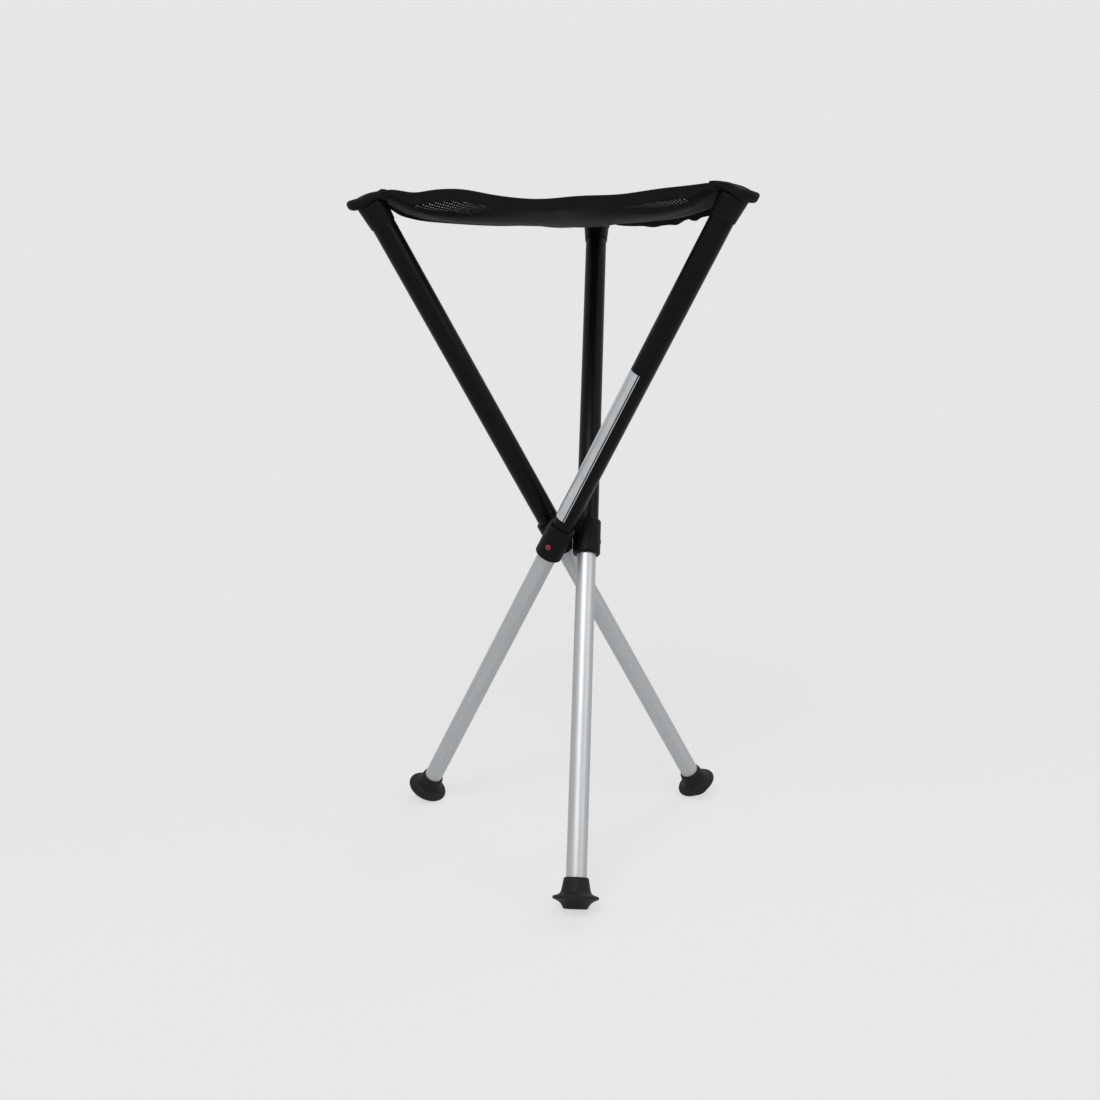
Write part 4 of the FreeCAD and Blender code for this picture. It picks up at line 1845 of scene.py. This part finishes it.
def make_looks(stool: Stool) -> dict[str, bpy.types.Material]:
    """Makes every material.

    Args:
        stool: The legs' frames, which turn the drawn finishes.

    Returns:
        The materials by name.
    """
    looks = {
        "plastic": MouldedPlastic().material("moulded_black"),
        "rubber": Rubber().material("foot_rubber"),
        "red": GlossRed().material("button_red"),
        "steel": PlatedSteel().material("plated_steel"),
        "black_steel": BlackenedSteel().material("blackened_steel"),
        "net": Yarn().material("net_yarn"),
        "thread": Yarn((0.008, 0.008, 0.008), (0.022, 0.022, 0.022)).material("sewing_thread"),
        "tape": Cloth(rib=0.0011, warp=0.0011, slant=0.55, depth=0.00012).material("hem_tape"),
        "webbing": Cloth(rib=0.0021, warp=0.0012, depth=0.0003).material("corner_webbing"),
        "patch": Cloth(rib=0.0008, warp=0.0008, depth=0.00014).material("patch_cloth"),
    }
    for name, leg in stool.legs.items():
        turn = leg.matrix.inverted()
        looks[f"upper_tube_{name}"] = SatinCoat().material(f"upper_tube_coat_{name}", turn)
        looks[f"lower_tube_{name}"] = SatinSilver().material(f"lower_tube_silver_{name}", turn)
        if name == "b":
            looks["foil"] = Foil().material("strip_foil", turn)
    return looks


@dataclass(frozen=True)
class Lamp:
    """One square soft lamp."""

    name: str
    offset: tuple[float, float, float]
    size: float
    power: float

    def hang(self, centre: Vector) -> None:
        """Hangs the lamp so that it faces a point.

        Args:
            centre: What it faces.
        """
        data = bpy.data.lights.new(self.name, "AREA")
        data.size, data.energy = self.size, self.power
        lamp = bpy.data.objects.new(self.name, data)
        place = centre + Vector(self.offset)
        lamp.location = place
        lamp.rotation_euler = (centre - place).to_track_quat("-Z", "Y").to_euler()
        bpy.context.scene.collection.objects.link(lamp)


@dataclass
class Studio:
    """Camera, floor, lamps and backdrop."""

    stool: Stool
    camera_offset: tuple[float, float, float] = (0.09457, -1.3766, 0.25909)
    yaw: float = math.radians(-4.75)
    pitch: float = math.radians(-11.198)
    roll: float = math.radians(-0.130)
    lens: float = 38.09
    sensor: float = 36.0
    clip: tuple[float, float] = (0.01, 50.0)
    backdrop: float = 0.791
    ambient: float = 0.50
    floor_size: float = 60.0
    floor_drop: float = 0.0002
    floor_tint: Tone = (0.80, 0.80, 0.80)
    floor_roughness: float = 0.9
    floor_near: float = 0.5
    floor_far: float = 1.6
    floor_share: float = 0.80
    lamp_height: float = 0.45
    lamps: tuple[Lamp, ...] = (
        Lamp("key_softbox", (-0.5, -1.7, 1.9), 1.5, 42.0),
        Lamp("fill_softbox", (1.9, -1.0, 1.0), 1.2, 10.0),
        Lamp("rim_softbox", (0.9, 1.8, 1.5), 1.0, 12.0))

    def build(self) -> None:
        """Sets up the whole studio."""
        self.camera()
        self.floor()
        self.world()
        for lamp in self.lamps:
            lamp.hang(Vector((self.stool.axis.x, self.stool.axis.y, self.lamp_height)))

    def camera(self) -> None:
        """Places the camera where the photograph was taken from."""
        data = bpy.data.cameras.new("photo_camera")
        data.lens, data.sensor_width = self.lens, self.sensor
        data.clip_start, data.clip_end = self.clip
        camera = bpy.data.objects.new("photo_camera", data)
        forward = Vector((math.sin(self.yaw) * math.cos(self.pitch),
                          math.cos(self.yaw) * math.cos(self.pitch), math.sin(self.pitch)))
        right = Vector((math.cos(self.yaw), -math.sin(self.yaw), 0.0))
        up = right.cross(forward)
        level_right = right * math.cos(self.roll) + up * math.sin(self.roll)
        level_up = up * math.cos(self.roll) - right * math.sin(self.roll)
        turn = Matrix((level_right, level_up, -forward)).transposed().to_4x4()
        camera.matrix_world = (Matrix.Translation(self.stool.axis + Vector(self.camera_offset))
                               @ turn)
        bpy.context.scene.collection.objects.link(camera)
        bpy.context.scene.camera = camera

    def floor(self) -> None:
        """Lays a wide pale floor that takes the shadow and lets the backdrop through."""
        deselect()
        bpy.ops.mesh.primitive_plane_add(size=self.floor_size, location=(0, 0, -self.floor_drop))
        floor = bpy.context.object
        floor.name = "studio_floor"
        shader = Shader("studio_floor", Base_Color=self.floor_tint, Roughness=self.floor_roughness,
                        Specular_IOR_Level=0.0)
        x, y, _ = shader.split(shader.place())
        far = ((x * x + y * y) ** 0.5).fade(self.floor_near, self.floor_far, self.floor_share, 1.0)
        seen = self.seen(shader, "Camera", "Glossy", "Transmission")
        mix = shader.node("ShaderNodeMixShader", None, {
            0: seen * far, 1: Signal(shader, shader.surface.outputs[0]),
            2: shader.signal("ShaderNodeBsdfTransparent")})
        output = next(node for node in shader.tree.nodes if node.type == "OUTPUT_MATERIAL")
        shader.put(output.inputs[0], Signal(shader, mix.outputs[0]))
        floor.data.materials.append(shader.material)

    @staticmethod
    def seen(nodes: Nodes, *rays: str) -> Signal:
        """One where a ray is of one of the kinds named, else zero.

        Args:
            nodes: The nodes that use it.
            rays: The kinds of ray.

        Returns:
            The signal.
        """
        path = nodes.node("ShaderNodeLightPath")
        first, *others = [Signal(nodes, path.outputs[f"Is {ray} Ray"]) for ray in rays]
        for other in others:
            first = first.most(other)
        return first

    def world(self) -> None:
        """Lights the room evenly and shows the backdrop's own grey."""
        world = bpy.data.worlds.new("studio")
        bpy.context.scene.world = world
        world.use_nodes = True
        nodes = Nodes(world.node_tree)
        background = nodes.tree.nodes["Background"]
        nodes.put(background.inputs["Color"], (1.0, 1.0, 1.0))
        nodes.put(background.inputs["Strength"], nodes.signal("ShaderNodeMapRange", None, {
            "Value": self.seen(nodes, "Camera", "Glossy"),
            "To Min": self.ambient, "To Max": self.backdrop}))


def main() -> None:
    """Builds the scene."""
    logging.basicConfig(level=logging.INFO, format="%(message)s")
    deselect()
    stool = Stool()
    Studio(stool).build()
    looks = make_looks(stool)
    CarriedNodes().dress(looks)
    Feet(stool).build(looks)
    CornerPads(stool).build(looks)
    SeatCloth(SeatShape(stool)).build(looks)
    bpy.context.scene.view_settings.view_transform = "Standard"


if __name__ == "__main__":
    main()
